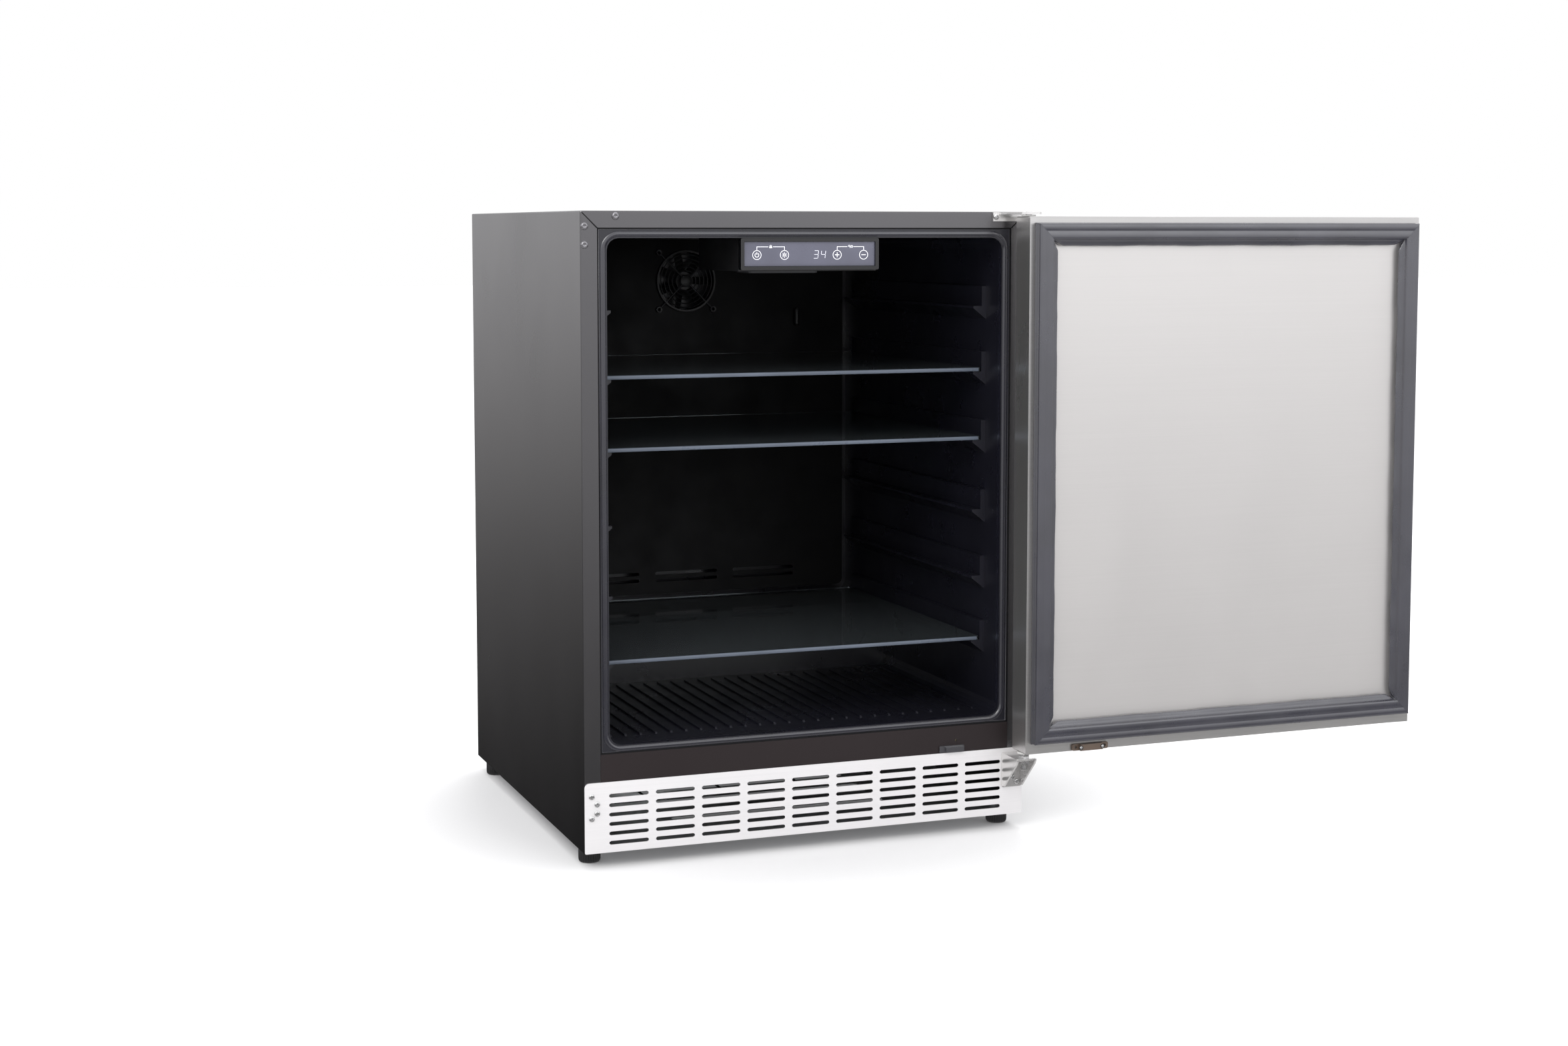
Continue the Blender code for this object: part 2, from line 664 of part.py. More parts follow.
def make_bottom_hinge(frame):
    seat = -2 * GAP - GRILLE_SHEET
    plate_face = seat - HINGE_PLATE
    shelf_high = HINGE_SHELF_LOW + HINGE_PLATE
    face = rounded(HINGE_LEFT, 37.0, HINGE_RIGHT, shelf_high, 2.0, 2)
    holes = [circle(p, SCREW_HOLE, 8) for p in mirrored(BOTTOM_HINGE_HOLES)]
    bracket = add_part("bottom_hinge_bracket", prism([face, *holes], "Y", plate_face, seat),
                       "bright_stainless", frame)
    shelf = [(HINGE_LEFT, -3.0), (HINGE_LEFT, -44.0), (HINGE_LEFT + 4.0, -48.5),
             (HINGE_RIGHT - 4.0, -48.5), (HINGE_RIGHT, -44.0), (HINGE_RIGHT, -3.0)]
    pin_hole = circle((HINGE_X, HINGE_Y), PIN_RADIUS + GAP, 12)
    cheek_holes = [circle((y, z), 1.6, 8) for y, z in ((-14.0, 62.0), (-22.0, 70.0), (-12.0, 74.0))]
    fuse(bracket, prism([shelf, pin_hole], "Z", HINGE_SHELF_LOW, shelf_high), gusset(HINGE_LEFT),
         gusset(HINGE_RIGHT - HINGE_PLATE, cheek_holes))
    pin_profile = [(0.0, 66.0), (3.2, 66.0), (PIN_RADIUS, 67.0), (PIN_RADIUS, 111.0), (3.2, 112.0),
                   (0.0, 112.0)]
    pin = add_part("bottom_hinge_pin", turned(pin_profile, 16), "zinc", frame,
                   at=(HINGE_X, HINGE_Y, 0.0), smooth=True)
    fuse(pin, cylinder("Z", (0.0, 0.0), HINGE_HEXAGON, shelf_high + GAP, 88.2, 6))
    nut = prism([circle((0.0, 0.0), HINGE_HEXAGON, 6), circle((0.0, 0.0), PIN_RADIUS + GAP, 12)], "Z",
                74.0, HINGE_SHELF_LOW - GAP)
    add_part("bottom_hinge_nut", nut, "zinc", frame, at=(HINGE_X, HINGE_Y, 0.0))
    add_screws("bottom_hinge_screw", mirrored(BOTTOM_HINGE_HOLES), plate_face, 9.0, frame)


def make_door_switch(frame):
    """Reed switch housing under the compartment, read by the magnet on the door."""
    plate = block((478.0, -1.8, GRILLE_TOP + GAP), (513.0, -GAP, 98.0))
    switch = add_part("door_switch", plate, "black_plastic", frame)
    fuse(switch, block((486.0, -5.5, GRILLE_TOP + 1.0), (511.5, -1.0, 96.5)))


# ---------------------------------------------------------------- inside the compartment

def make_shelves(frame):
    side = OPEN_LEFT + RAIL_UPSTAND + 1.5
    for name, level in SHELF_LEVELS.items():
        bottom = LEDGES[level] + GAP
        outline = rounded(side, RAIL_FRONT - 2.0, WIDTH - side, RAIL_BACK, 4.0, 3)
        panel = prism([outline], "Z", 0.0, SHELF_THICK)
        add_part(f"glass_shelf_{name}", panel, "tinted_glass", frame, at=(0.0, 0.0, bottom))


def make_evaporator_cover(frame):
    """Shallow pan that hides the evaporator and carries its fan."""
    left, right = 52.0, WIDTH - 52.0
    low, high = 236.0, CEILING_Z - 4.0
    cover = add_part("evaporator_cover",
                     prism([rounded(left, low, right, high, 8.0, 3)], "Y", COVER_Y, BACK_Y - GAP),
                     "liner_plastic", frame)
    inside = prism([rounded(left + 2.5, low + 2.5, right - 2.5, high - 2.5, 6.0, 3)], "Y",
                   COVER_Y + 2.5, BACK_Y + 5.0)
    cut(cover, inside)
    intake = [prism([slot(130.0 + 120.0 * i, 256.0 + 10.0 * k, 96.0, 5.0, 3)], "Y", COVER_Y - 2.0,
                    COVER_Y + 4.0) for i in range(3) for k in range(2)]
    mouth = cylinder("Y", EVAP_FAN_CENTRE, EVAP_FAN_RADIUS - 2.5, COVER_Y - 2.0, COVER_Y + 4.0, 32)
    lugs = [cylinder("Y", lug, 2.0, COVER_Y - 2.0, COVER_Y + 4.0, 8) for lug in fan_lugs()]
    cut(cover, *intake, mouth, *lugs)


def fan_lugs():
    x, z = EVAP_FAN_CENTRE
    return [(x + sx * LUG_OFFSET, z + sz * LUG_OFFSET) for sx in (-1, 1) for sz in (-1, 1)]


def make_fan_guard(frame):
    """Finger guard: rings on two crossed bars that reach to the screw lugs."""
    x, z = EVAP_FAN_CENTRE
    front, back = COVER_Y - 4.5, COVER_Y - GAP
    hub = cylinder("Y", EVAP_FAN_CENTRE, 9.0, front, back, 12)
    guard = add_part("evaporator_fan_guard", hub, "black_plastic", frame)
    rings = [prism([circle(EVAP_FAN_CENTRE, r + 0.9, 18), circle(EVAP_FAN_CENTRE, r - 0.9, 18)], "Y",
                   front + 0.8, back - 0.8) for r in (20.0, 31.0)]
    rim = prism([circle(EVAP_FAN_CENTRE, 45.0, 24), circle(EVAP_FAN_CENTRE, 42.0, 24)], "Y", front, back)
    lugs = [prism([circle(p, 4.5, 10), circle(p, 2.0, 6)], "Y", front, back) for p in fan_lugs()]
    bars = []
    for angle in (45.0, 135.0):
        bar = block((-55.2, front + 0.4, -1.3), (55.2, back - 0.4, 1.3))
        bars.append(moved(bar, (x, 0.0, z), Matrix.Rotation(math.radians(angle), 4, "Y")))
    fuse(guard, rim, *rings)
    fuse(guard, *lugs)
    fuse(guard, *bars)


def fan_frame(centre, radius, axis_low, axis_high, shaft_reach):
    """Round duct with a motor on three spokes; the shaft points towards axis_low."""
    duct = prism([circle(centre, radius, 32), circle(centre, radius - 2.5, 32)], "Y", axis_low, axis_high)
    motor = cylinder("Y", centre, 13.0, axis_high - 9.0, axis_high, 20)
    shaft = cylinder("Y", centre, 2.0, axis_high - 9.0 - shaft_reach, axis_high - 5.0, 10)
    spokes = []
    for angle in (90.0, 210.0, 330.0):
        spoke = block((8.0, axis_high - 5.0, -2.0), (radius - 1.0, axis_high - 1.0, 2.0))
        turn = Matrix.Rotation(math.radians(angle), 4, "Y")
        spokes.append(moved(spoke, (centre[0], 0.0, centre[1]), turn))
    return duct, [motor, shaft, *spokes]


def fan_rotor(hub_radius, tip_radius, depth, blades, bore=2.3):
    """Rotor about the y axis: bored hub and pitched blades, open end of the bore at +y."""
    hub = cylinder("Y", (0.0, 0.0), hub_radius, 0.0, depth, 20)
    vanes = []
    for i in range(blades):
        vane = block((hub_radius - 1.5, -depth * 0.42, -0.8), (tip_radius, depth * 0.42, 0.8))
        vane.transform(Matrix.Rotation(math.radians(50.0), 4, "X"))
        vane.transform(Matrix.Translation((0.0, depth / 2, 0.0)))
        vane.transform(Matrix.Rotation(math.tau * i / blades, 4, "Y"))
        vanes.append(vane)
    drill = cylinder("Y", (0.0, 0.0), bore, 2.0, depth + 1.0, 10)
    return hub, vanes, drill


def make_evaporator_fan(frame):
    low, high = COVER_Y + 3.0, COVER_Y + 30.0
    duct, insides = fan_frame(EVAP_FAN_CENTRE, EVAP_FAN_RADIUS, low, high, 12.0)
    body = add_part("evaporator_fan_frame", duct, "black_plastic", frame)
    fuse(body, *insides)
    hub, vanes, drill = fan_rotor(13.0, 41.5, 15.0, 7)
    axis = (EVAP_FAN_CENTRE[0], low + 2.0, EVAP_FAN_CENTRE[1])
    rotor = add_part("evaporator_fan_rotor", hub, "black_plastic", frame, at=axis)
    fuse(rotor, *vanes)
    cut(rotor, drill)


def make_evaporator(frame):
    """Plate-and-tube evaporator in the space behind its cover."""
    plate = prism([rounded(72.0, 290.0, WIDTH - 72.0, 636.0, 10.0, 3)], "Y", 518.0, 519.2)
    add_part("evaporator_plate", plate, "aluminium", frame)
    path = [(100.0 + a, 523.6, 310.0 + b) for a, b in serpentine(7, 50.0, WIDTH - 200.0, 4)]
    add_part("evaporator_tube", pipe(path, 4.0), "aluminium", frame, smooth=True)
    sensor = turned([(0.0, -14.0), (3.0, -13.0), (4.0, -10.0), (4.0, 10.0), (3.0, 13.0), (0.0, 14.0)], 12)
    add_part("temperature_sensor", moved(sensor, (470.0, COVER_Y - 4.4, 640.0)), "black_plastic", frame,
             smooth=True)


def make_control_panel(frame):
    """Control housing on the ceiling: shell, circuit board, display and its bezel."""
    shell_low = PANEL_BOTTOM - 1.5
    shell_front = BEZEL_DEPTH + GAP
    shell = block((PANEL_LEFT, shell_front, shell_low), (PANEL_RIGHT, PANEL_DEPTH, PANEL_TOP))
    housing = add_part("control_housing", shell, "black_plastic", frame)
    cut(housing, block((PANEL_LEFT + 2.0, shell_front - 1.0, shell_low + 2.0),
                       (PANEL_RIGHT - 2.0, PANEL_DEPTH - 2.0, PANEL_TOP + 1.0)))
    outer = rounded(PANEL_LEFT, PANEL_BOTTOM, PANEL_RIGHT, PANEL_TOP, 2.0, 2)
    inner = rectangle(PANEL_LEFT + BEZEL_BORDER, PANEL_BOTTOM + BEZEL_BORDER,
                      PANEL_RIGHT - BEZEL_BORDER, PANEL_TOP - BEZEL_BORDER)
    add_part("display_bezel", prism([outer, inner], "Y", 0.0, BEZEL_DEPTH), "clear_bezel", frame)
    edge = BEZEL_BORDER + GAP
    face = block((PANEL_LEFT + edge, 2.5, PANEL_BOTTOM + edge),
                 (PANEL_RIGHT - edge, 5.0, PANEL_TOP - edge))
    add_part("display_panel", face, "display_grey", frame)
    board = block((PANEL_LEFT + edge + 1.0, 6.5, PANEL_BOTTOM + edge + 1.0),
                  (PANEL_RIGHT - edge - 1.0, 8.1, PANEL_TOP - edge - 1.0))
    add_part("control_board", board, "circuit_green", frame)
    lens = prism([rounded(250.0, 96.0, 346.0, 148.0, 6.0, 3)], "Z", shell_low - 4.0, shell_low - GAP)
    add_part("interior_lamp", lens, "lamp_lens", frame)


# ---------------------------------------------------------------- machine compartment

def make_compressor(frame):
    pot = turned([(0.0, 22.0), (60.0, 26.0), (84.0, 44.0), (90.0, 66.0), (90.0, 84.0), (93.0, 85.0),
                  (93.0, 89.0), (90.0, 90.0), (88.0, 118.0), (72.0, 146.0), (40.0, 160.0),
                  (0.0, 164.0)], 24)
    pot.transform(Matrix.Diagonal((1.0, 0.76, 1.0, 1.0)))
    compressor = add_part("compressor", pot, "compressor_black", frame,
                          at=(*COMPRESSOR_CENTRE, 0.0), smooth=True)
    foot_x, foot_y = COMPRESSOR_FOOT
    feet = prism([rounded(-100.0, -62.0, 100.0, 62.0, 12.0, 3),
                  *[circle((sx * foot_x, sy * foot_y), 6.0, 10) for sx in (-1, 1) for sy in (-1, 1)]],
                 "Z", 20.0, 24.0)
    fuse(compressor, feet)
    terminal = block((-122.0, -30.0, 60.0), (-94.5, 30.0, 120.0))
    add_part("compressor_terminal_cover", terminal, "black_plastic", frame,
             at=(*COMPRESSOR_CENTRE, 0.0))


def make_condenser(frame):
    """Wire-on-tube condenser lying behind the grille."""
    path = [(50.0 + a, 40.0 + b, CONDENSER_Z) for a, b in serpentine(7, 50.0, WIDTH - 100.0)]
    condenser = add_part("condenser", pipe(path, CONDENSER_TUBE, 6), "compressor_black", frame,
                         smooth=True)
    top = CONDENSER_Z + CONDENSER_TUBE
    wires = [block((90.0 + 104.0 * i, 30.0, top - 0.8), (92.0 + 104.0 * i, 350.0, top + 1.2))
             for i in range(5)]
    fuse(condenser, *wires)


def make_condenser_fan(frame):
    x, z = CONDENSER_FAN_CENTRE
    low, high = CONDENSER_FAN_Y, CONDENSER_FAN_Y + 30.0
    duct, insides = fan_frame(CONDENSER_FAN_CENTRE, 50.0, low, high, 12.0)
    body = add_part("condenser_fan_frame", duct, "black_plastic", frame)
    foot = block((x - 40.0, low + 4.0, BASE_Z + 1.5), (x + 40.0, high - 4.0, z - 47.0))
    fuse(body, *insides)
    fuse(body, foot)
    hub, vanes, drill = fan_rotor(14.0, 45.0, 16.0, 5)
    rotor = add_part("condenser_fan_rotor", hub, "black_plastic", frame, at=(x, low + 4.0, z))
    fuse(rotor, *vanes)
    cut(rotor, drill)


def make_drain_pan(frame):
    left, front, right, back = 185.0, 430.0, 285.0, 560.0
    low = BASE_Z + 1.5
    pan = add_part("drain_pan", prism([rounded(left, front, right, back, 10.0, 3)], "Z", low, 36.0),
                   "black_plastic", frame)
    cut(pan, prism([rounded(left + PAN_WALL, front + PAN_WALL, right - PAN_WALL, back - PAN_WALL,
                            10.0 - PAN_WALL, 3)], "Z", low + PAN_WALL, 40.0))


def make_filter_drier(frame):
    profile = [(0.0, -60.0), (2.5, -60.0), (2.5, -48.0), (9.0, -38.0), (9.0, 38.0), (2.5, 48.0),
               (2.5, 60.0), (0.0, 60.0)]
    turn = Matrix.Rotation(math.radians(90.0), 4, "X")
    add_part("filter_drier", moved(turned(profile, 12), DRIER_CENTRE, turn), "copper", frame,
             smooth=True)


def make_feet(frame):
    """Levelling feet on threaded studs."""
    for name, centre in FOOT_CENTRES.items():
        profile = [(0.0, -FOOT_HEIGHT), (FOOT_RADIUS - 3.0, -FOOT_HEIGHT),
                   (FOOT_RADIUS, -FOOT_HEIGHT + 4.0), (FOOT_RADIUS, -2.5), (FOOT_RADIUS - 1.5, -1.2),
                   (4.0, -1.2), (4.0, 20.0), (0.0, 21.0)]
        add_part(f"foot_{name}", turned(profile, 20), "black_plastic", frame, at=(*centre, 0.0),
                 smooth=True)


# ---------------------------------------------------------------- door

def make_door_shell(pivot):
    """Outer skin folded round all four edges, with its return flange on the inner side."""
    case = block((DOOR_FREE, DOOR_OUT, DOOR_BOTTOM), (DOOR_HINGE_EDGE, DOOR_IN, DOOR_TOP))
    edges = [e for e in case.edges if not all(v.co.y > DOOR_IN - 1.0 for v in e.verts)]
    bmesh.ops.bevel(case, geom=edges, offset=EDGE_RADIUS, segments=2, profile=0.5, affect="EDGES")
    skin = add_part("door_skin", case, "stainless", pivot)
    cut(skin, block((DOOR_FREE + SHEET, DOOR_OUT + SHEET, DOOR_BOTTOM + SHEET),
                    (DOOR_HINGE_EDGE - SHEET, DOOR_IN - SHEET, DOOR_TOP - SHEET)))
    cut(skin, block((DOOR_FREE + DOOR_RETURN, 0.0, DOOR_BOTTOM + DOOR_RETURN),
                    (DOOR_HINGE_EDGE - DOOR_RETURN, DOOR_IN + 1.0, DOOR_TOP - DOOR_RETURN)))
    drills = [cylinder("Z", (0.0, 0.0), BUSH_WELL, edge - 3.0, edge + 3.0, 16)
              for edge in (DOOR_BOTTOM, DOOR_TOP)]
    posts = [cylinder("Y", (HANDLE_X, z), 3.0, DOOR_OUT - 2.0, DOOR_OUT + 3.0, 10)
             for z in handle_post_heights()]
    cut(skin, *drills, *posts)
    window = DOOR_RETURN + GAP
    panel = block((DOOR_FREE + window, DOOR_IN - SHEET, DOOR_BOTTOM + window),
                  (DOOR_HINGE_EDGE - window, DOOR_IN, DOOR_TOP - window))
    add_part("door_inner_panel", panel, "bright_stainless", pivot)


def handle_post_heights():
    return (HANDLE_BOTTOM + HANDLE_POST_INSET, HANDLE_TOP - HANDLE_POST_INSET)


def make_door_foam(pivot):
    edge = SHEET + GAP
    foam = add_part("door_foam", block((DOOR_FREE + edge, DOOR_OUT + edge, DOOR_BOTTOM + edge),
                                       (DOOR_HINGE_EDGE - edge, DOOR_IN - edge, DOOR_TOP - edge)),
                    "foam", pivot)
    wells = [cylinder("Z", (0.0, 0.0), BUSH_WELL, DOOR_TOP - 24.0, DOOR_TOP, 16),
             cylinder("Z", (0.0, 0.0), BUSH_WELL, DOOR_BOTTOM, DOOR_BOTTOM + 28.0, 16)]
    pockets = [cylinder("Y", (HANDLE_X, z), 6.0, DOOR_OUT, DOOR_OUT + 9.0, 10)
               for z in handle_post_heights()]
    cut(foam, *wells, *pockets)


def make_gasket(pivot):
    """Magnetic seal: one hollow-section ring, mitred at its corners."""
    base = DOOR_IN + GAP
    face = DOOR_IN + GASKET_HEIGHT
    profile = [(0.0, base), (0.0, base + 2.0), (2.5, base + 4.0), (2.5, face - 2.0), (4.0, face),
               (20.0, face), (22.0, face - 3.0), (GASKET_WIDTH, base + 6.0), (GASKET_WIDTH, base)]
    left = DOOR_FREE + GASKET_SIDE
    right = DOOR_HINGE_EDGE - GASKET_SIDE
    low = DOOR_BOTTOM + GASKET_BOTTOM
    high = DOOR_TOP - GASKET_TOP
    corners = ((left, low, 1, 1), (right, low, -1, 1), (right, high, -1, -1), (left, high, 1, -1))
    points = [(x + sx * d, y, z + sz * d) for x, z, sx, sz in corners for d, y in profile]
    count = len(profile)
    faces = []
    for i in range(4):
        a = i * count
        b = (i + 1) % 4 * count
        faces += [(a + k, a + (k + 1) % count, b + (k + 1) % count, b + k) for k in range(count)]
    add_part("door_gasket", solid_from(points, faces), "vinyl_grey", pivot)


def make_door_bushes(pivot):
    inner = PIN_RADIUS + PIN_CLEARANCE
    top = [(inner, DOOR_TOP - 20.0), (BUSH_BODY, DOOR_TOP - 20.0), (BUSH_BODY, DOOR_TOP + GAP),
           (BUSH_FLANGE, DOOR_TOP + GAP), (BUSH_FLANGE, DOOR_TOP + 2.0), (inner, DOOR_TOP + 2.0)]
    bottom = [(inner, DOOR_BOTTOM - 3.0), (BUSH_FLANGE, DOOR_BOTTOM - 3.0),
              (BUSH_FLANGE, DOOR_BOTTOM - GAP), (BUSH_BODY, DOOR_BOTTOM - GAP),
              (BUSH_BODY, DOOR_BOTTOM + 24.0), (inner, DOOR_BOTTOM + 24.0)]
    add_part("door_bush_top", ring_turned(top, 16), "white_nylon", pivot, smooth=True)
    add_part("door_bush_bottom", ring_turned(bottom, 16), "white_nylon", pivot, smooth=True)


def make_handle(pivot):
    bar_y = DOOR_OUT - HANDLE_STANDOFF
    bar = turned([(0.0, HANDLE_BOTTOM), (HANDLE_RADIUS - 1.0, HANDLE_BOTTOM),
                  (HANDLE_RADIUS, HANDLE_BOTTOM + 1.0), (HANDLE_RADIUS, HANDLE_TOP - 1.0),
                  (HANDLE_RADIUS - 1.0, HANDLE_TOP), (0.0, HANDLE_TOP)], 24)
    add_part("handle_bar", moved(bar, (HANDLE_X, bar_y, 0.0)), "stainless", pivot, smooth=True)
    for name, z in zip(("lower", "upper"), handle_post_heights()):
        shaft = cylinder("Y", (HANDLE_X, z), POST_RADIUS, bar_y, DOOR_OUT - GAP, 20)
        post = add_part(f"handle_post_{name}", shaft, "stainless", pivot, smooth=True)
        cut(post, cylinder("Z", (HANDLE_X, bar_y), HANDLE_RADIUS + GAP, HANDLE_BOTTOM, HANDLE_TOP, 24))
        cut(post, cylinder("Y", (HANDLE_X, z), POST_SCREW, DOOR_OUT - 18.0, DOOR_OUT + 1.0, 10))


def make_door_magnet(pivot):
    """Magnet block on the door's lower margin, opposite the door switch."""
    base = DOOR_IN + GAP
    left, right = MAGNET_LEFT, MAGNET_RIGHT
    low, high = DOOR_BOTTOM + 0.5, DOOR_BOTTOM + 9.5
    middle_z = (low + high) / 2
    holes = [circle((x, middle_z), 2.0, 8) for x in (left + 5.0, right - 5.0)]
    magnet = add_part("door_magnet", prism([rounded(left, low, right, high, 2.0, 2), *holes], "Y",
                                           base, base + 3.0), "black_plastic", pivot)
    fuse(magnet, block((left + MAGNET_TAB, base + 1.0, low + 0.3),
                       (right - MAGNET_TAB, base + 8.0, high - 0.3)))


def build():
    clear_scene()
    frame = make_empty("cabinet_frame", -ORIGIN)
    make_wrapper(frame)
    make_liner(frame)
    make_foam(frame)
    make_front_rail(frame)
    make_toe_grille(frame)
    make_rear_panel(frame)
    make_deck(frame)
    make_base_plate(frame)
    make_rear_cover(frame)
    make_top_hinge(frame)
    make_bottom_hinge(frame)
    make_door_switch(frame)
    make_shelves(frame)
    make_evaporator_cover(frame)
    make_fan_guard(frame)
    make_evaporator_fan(frame)
    make_evaporator(frame)
    make_control_panel(frame)
    make_compressor(frame)
    make_condenser(frame)
    make_condenser_fan(frame)
    make_drain_pan(frame)
    make_filter_drier(frame)
    make_feet(frame)

    pivot = make_empty("door_pivot", (HINGE_X, HINGE_Y, 0.0), frame)
    pivot.rotation_euler = (0.0, 0.0, math.radians(DOOR_OPEN_DEG))
    make_door_shell(pivot)
    make_door_foam(pivot)
    make_gasket(pivot)
    make_door_bushes(pivot)
    make_handle(pivot)
    make_door_magnet(pivot)


build()
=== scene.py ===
import json
import math

import bmesh
import bpy
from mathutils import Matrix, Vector


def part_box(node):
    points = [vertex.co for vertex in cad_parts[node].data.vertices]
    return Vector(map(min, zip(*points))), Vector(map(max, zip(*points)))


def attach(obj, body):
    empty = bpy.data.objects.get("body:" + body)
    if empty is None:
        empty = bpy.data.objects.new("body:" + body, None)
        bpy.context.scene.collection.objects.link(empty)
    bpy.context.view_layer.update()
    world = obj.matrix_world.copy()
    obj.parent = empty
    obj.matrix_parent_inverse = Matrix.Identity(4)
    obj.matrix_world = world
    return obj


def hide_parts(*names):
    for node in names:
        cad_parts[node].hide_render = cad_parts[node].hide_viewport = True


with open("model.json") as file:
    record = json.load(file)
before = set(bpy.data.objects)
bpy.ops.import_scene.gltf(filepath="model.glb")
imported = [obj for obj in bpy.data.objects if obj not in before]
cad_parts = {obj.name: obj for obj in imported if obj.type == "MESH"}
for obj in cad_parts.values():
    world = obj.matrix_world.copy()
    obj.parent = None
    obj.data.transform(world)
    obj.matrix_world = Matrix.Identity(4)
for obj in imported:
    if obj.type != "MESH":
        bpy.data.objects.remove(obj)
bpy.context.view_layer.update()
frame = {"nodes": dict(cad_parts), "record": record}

MM = 0.001
NODES = frame["nodes"]

# The cabinet's own frame: millimetres from the shell's lowest front left corner
SHELL_LOW, SHELL_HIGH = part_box("wrapper")
WIDTH = (SHELL_HIGH.x - SHELL_LOW.x) / MM
HEIGHT = (SHELL_HIGH.z - SHELL_LOW.z) / MM

# Camera: place in metres, heading and pitch in degrees, lens in millimetres, upward shift
CAMERA_PLACE = (-1.32781, -2.95924, 0.78627)
CAMERA_HEADING = -20.481
CAMERA_PITCH = 4.891
CAMERA_LENS = 53.049
CAMERA_RISE = -0.06

# Door seal: section points measured inwards from its outer edge and up from its base on the door
SEAL_SEGMENTS = 72
SEAL_WIDTH = 30.0
SEAL_PROFILE = (
    (1.0, 0.0), (0.0, 0.8), (0.0, 2.0), (2.4, 2.8), (3.0, 3.9), (1.4, 4.7), (0.7, 5.9), (1.3, 7.1),
    (3.0, 7.8), (3.1, 8.7), (1.5, 9.4), (0.8, 10.7), (1.0, 12.4), (2.0, 13.7), (3.8, 14.04),
    (9.5, 13.9), (10.4, 13.6), (11.3, 13.9), (18.6, 14.04), (20.2, 13.8), (21.0, 12.6),
    (21.3, 10.6), (22.4, 9.2), (25.0, 8.3), (28.0, 8.0), (29.4, 7.4), (29.9, 6.2), (29.2, 5.2),
    (26.0, 5.0), (24.0, 4.0), (23.5, 0.0),
)
SEAL_UPPER_SIDE = SEAL_PROFILE[10:26]
SEAL_LIP_FROM = 21.0
SEAL_LIP_WAVE = 0.55

# Left-hand hinge holes, plugged, and the grille's screws, as x and z on the front
PLUG_HOLES = ((44.2, 784.6), (5.1, 772.4), (5.1, 749.9))
PLUG_RADIUS = 4.8
GRILLE_SCREWS = ((8.9, 71.7), (15.7, 61.7), (15.7, 50.2), (8.9, 43.9))
GRILLE_SCREW_LENGTH = 6.0

# Pan-head screws: the head's radius and height, and the depth of its rim under the CAD screw's face
HEAD_RADIUS = 3.9
HEAD_HEIGHT = 2.2
HEAD_SEAT = 2.3
MAGNET_SCREW_SCALE = 0.62

# Compressor grommets: distance of the four feet from its middle, along x and y
GROMMET_REACH = (84.0, 50.0)

# Levelling foot's grip: inset from the full radius, height, and depth of the flutes there
FOOT_GRIP = ((3.2, 0.0, 0.0), (1.6, 0.7, 0.25), (0.7, 2.4, 0.7), (0.35, 4.5, 0.9), (0.35, 15.6, 0.9),
             (0.8, 17.0, 0.45), (1.8, 18.0, 0.0))
FOOT_FLUTES = 26
FOOT_STEPS = 6 * FOOT_FLUTES
FOOT_THREAD_PITCH = 1.5

# Fan guard: radii of its wires, and where its corner lugs sit
GUARD_WIRES = (15.0, 21.0, 27.0, 33.0, 39.0)
GUARD_LUG_REACH = 58.34

# Shell's front flange: width of its sides and of its top
FLANGE_SIDE = 21.0
FLANGE_TOP = 20.5

# Liner opening, in the cabinet's own frame
OPEN_SIDE = 33.5
OPEN_LOW = 133.0
OPEN_HIGH = 758.0
OPEN_CORNER = 15.0

# Brightness of the studio's surround by height, in front of the object and behind it
SKY_FRONT = ((-1.0, 0.50), (-0.46, 0.42), (-0.36, 0.02), (-0.27, 0.05), (-0.20, 0.18), (-0.135, 0.44),
             (0.0, 1.04), (0.1, 1.10))
SKY_REAR = ((-1.0, 0.50), (-0.46, 0.40), (-0.36, 0.0), (-0.27, 0.0), (-0.21, 0.05), (-0.14, 0.17),
            (-0.07, 0.43), (0.0, 0.78), (0.1, 0.92))
SKY_BLEND = 0.3

# Floor: half its width, strength of its glow, and the radii in metres between which the glow grows
FLOOR_HALF = 30.0
FLOOR_GLOW = 0.3
GLOW_FROM = 0.34
GLOW_TO = 0.66

# Softboxes: place, target, size, power and colour
LIGHTS = {
    "key_softbox": ((-2.4, -2.8, 2.9), (0.0, -0.1, 0.4), (2.2, 1.6), 46.0, (1.0, 0.99, 0.97)),
    "front_fill": ((1.6, -3.6, 1.9), (0.1, 0.0, 0.4), (2.4, 1.8), 9.0, (0.95, 0.97, 1.0)),
    "top_softbox": ((0.0, 0.6, 3.2), (0.0, 0.0, 0.4), (2.6, 2.2), 30.0, (1.0, 1.0, 1.0)),
    "rear_fill": ((1.2, 3.4, 2.0), (0.0, 0.2, 0.4), (2.2, 1.8), 34.0, (0.98, 0.99, 1.0)),
}

# Display markings, on the display's face
RING_RADIUS = 5.6
STROKE = 0.6
MARK_DEPTH = 0.12
SEGMENTS = {"3": "abcdg", "4": "bcfg"}
DIGIT_WIDTH = 5.6
DIGIT_HEIGHT = 9.6
DIGIT_STROKE = 0.55
DIGIT_SLANT = 0.12
DIGIT_PITCH = 9.6

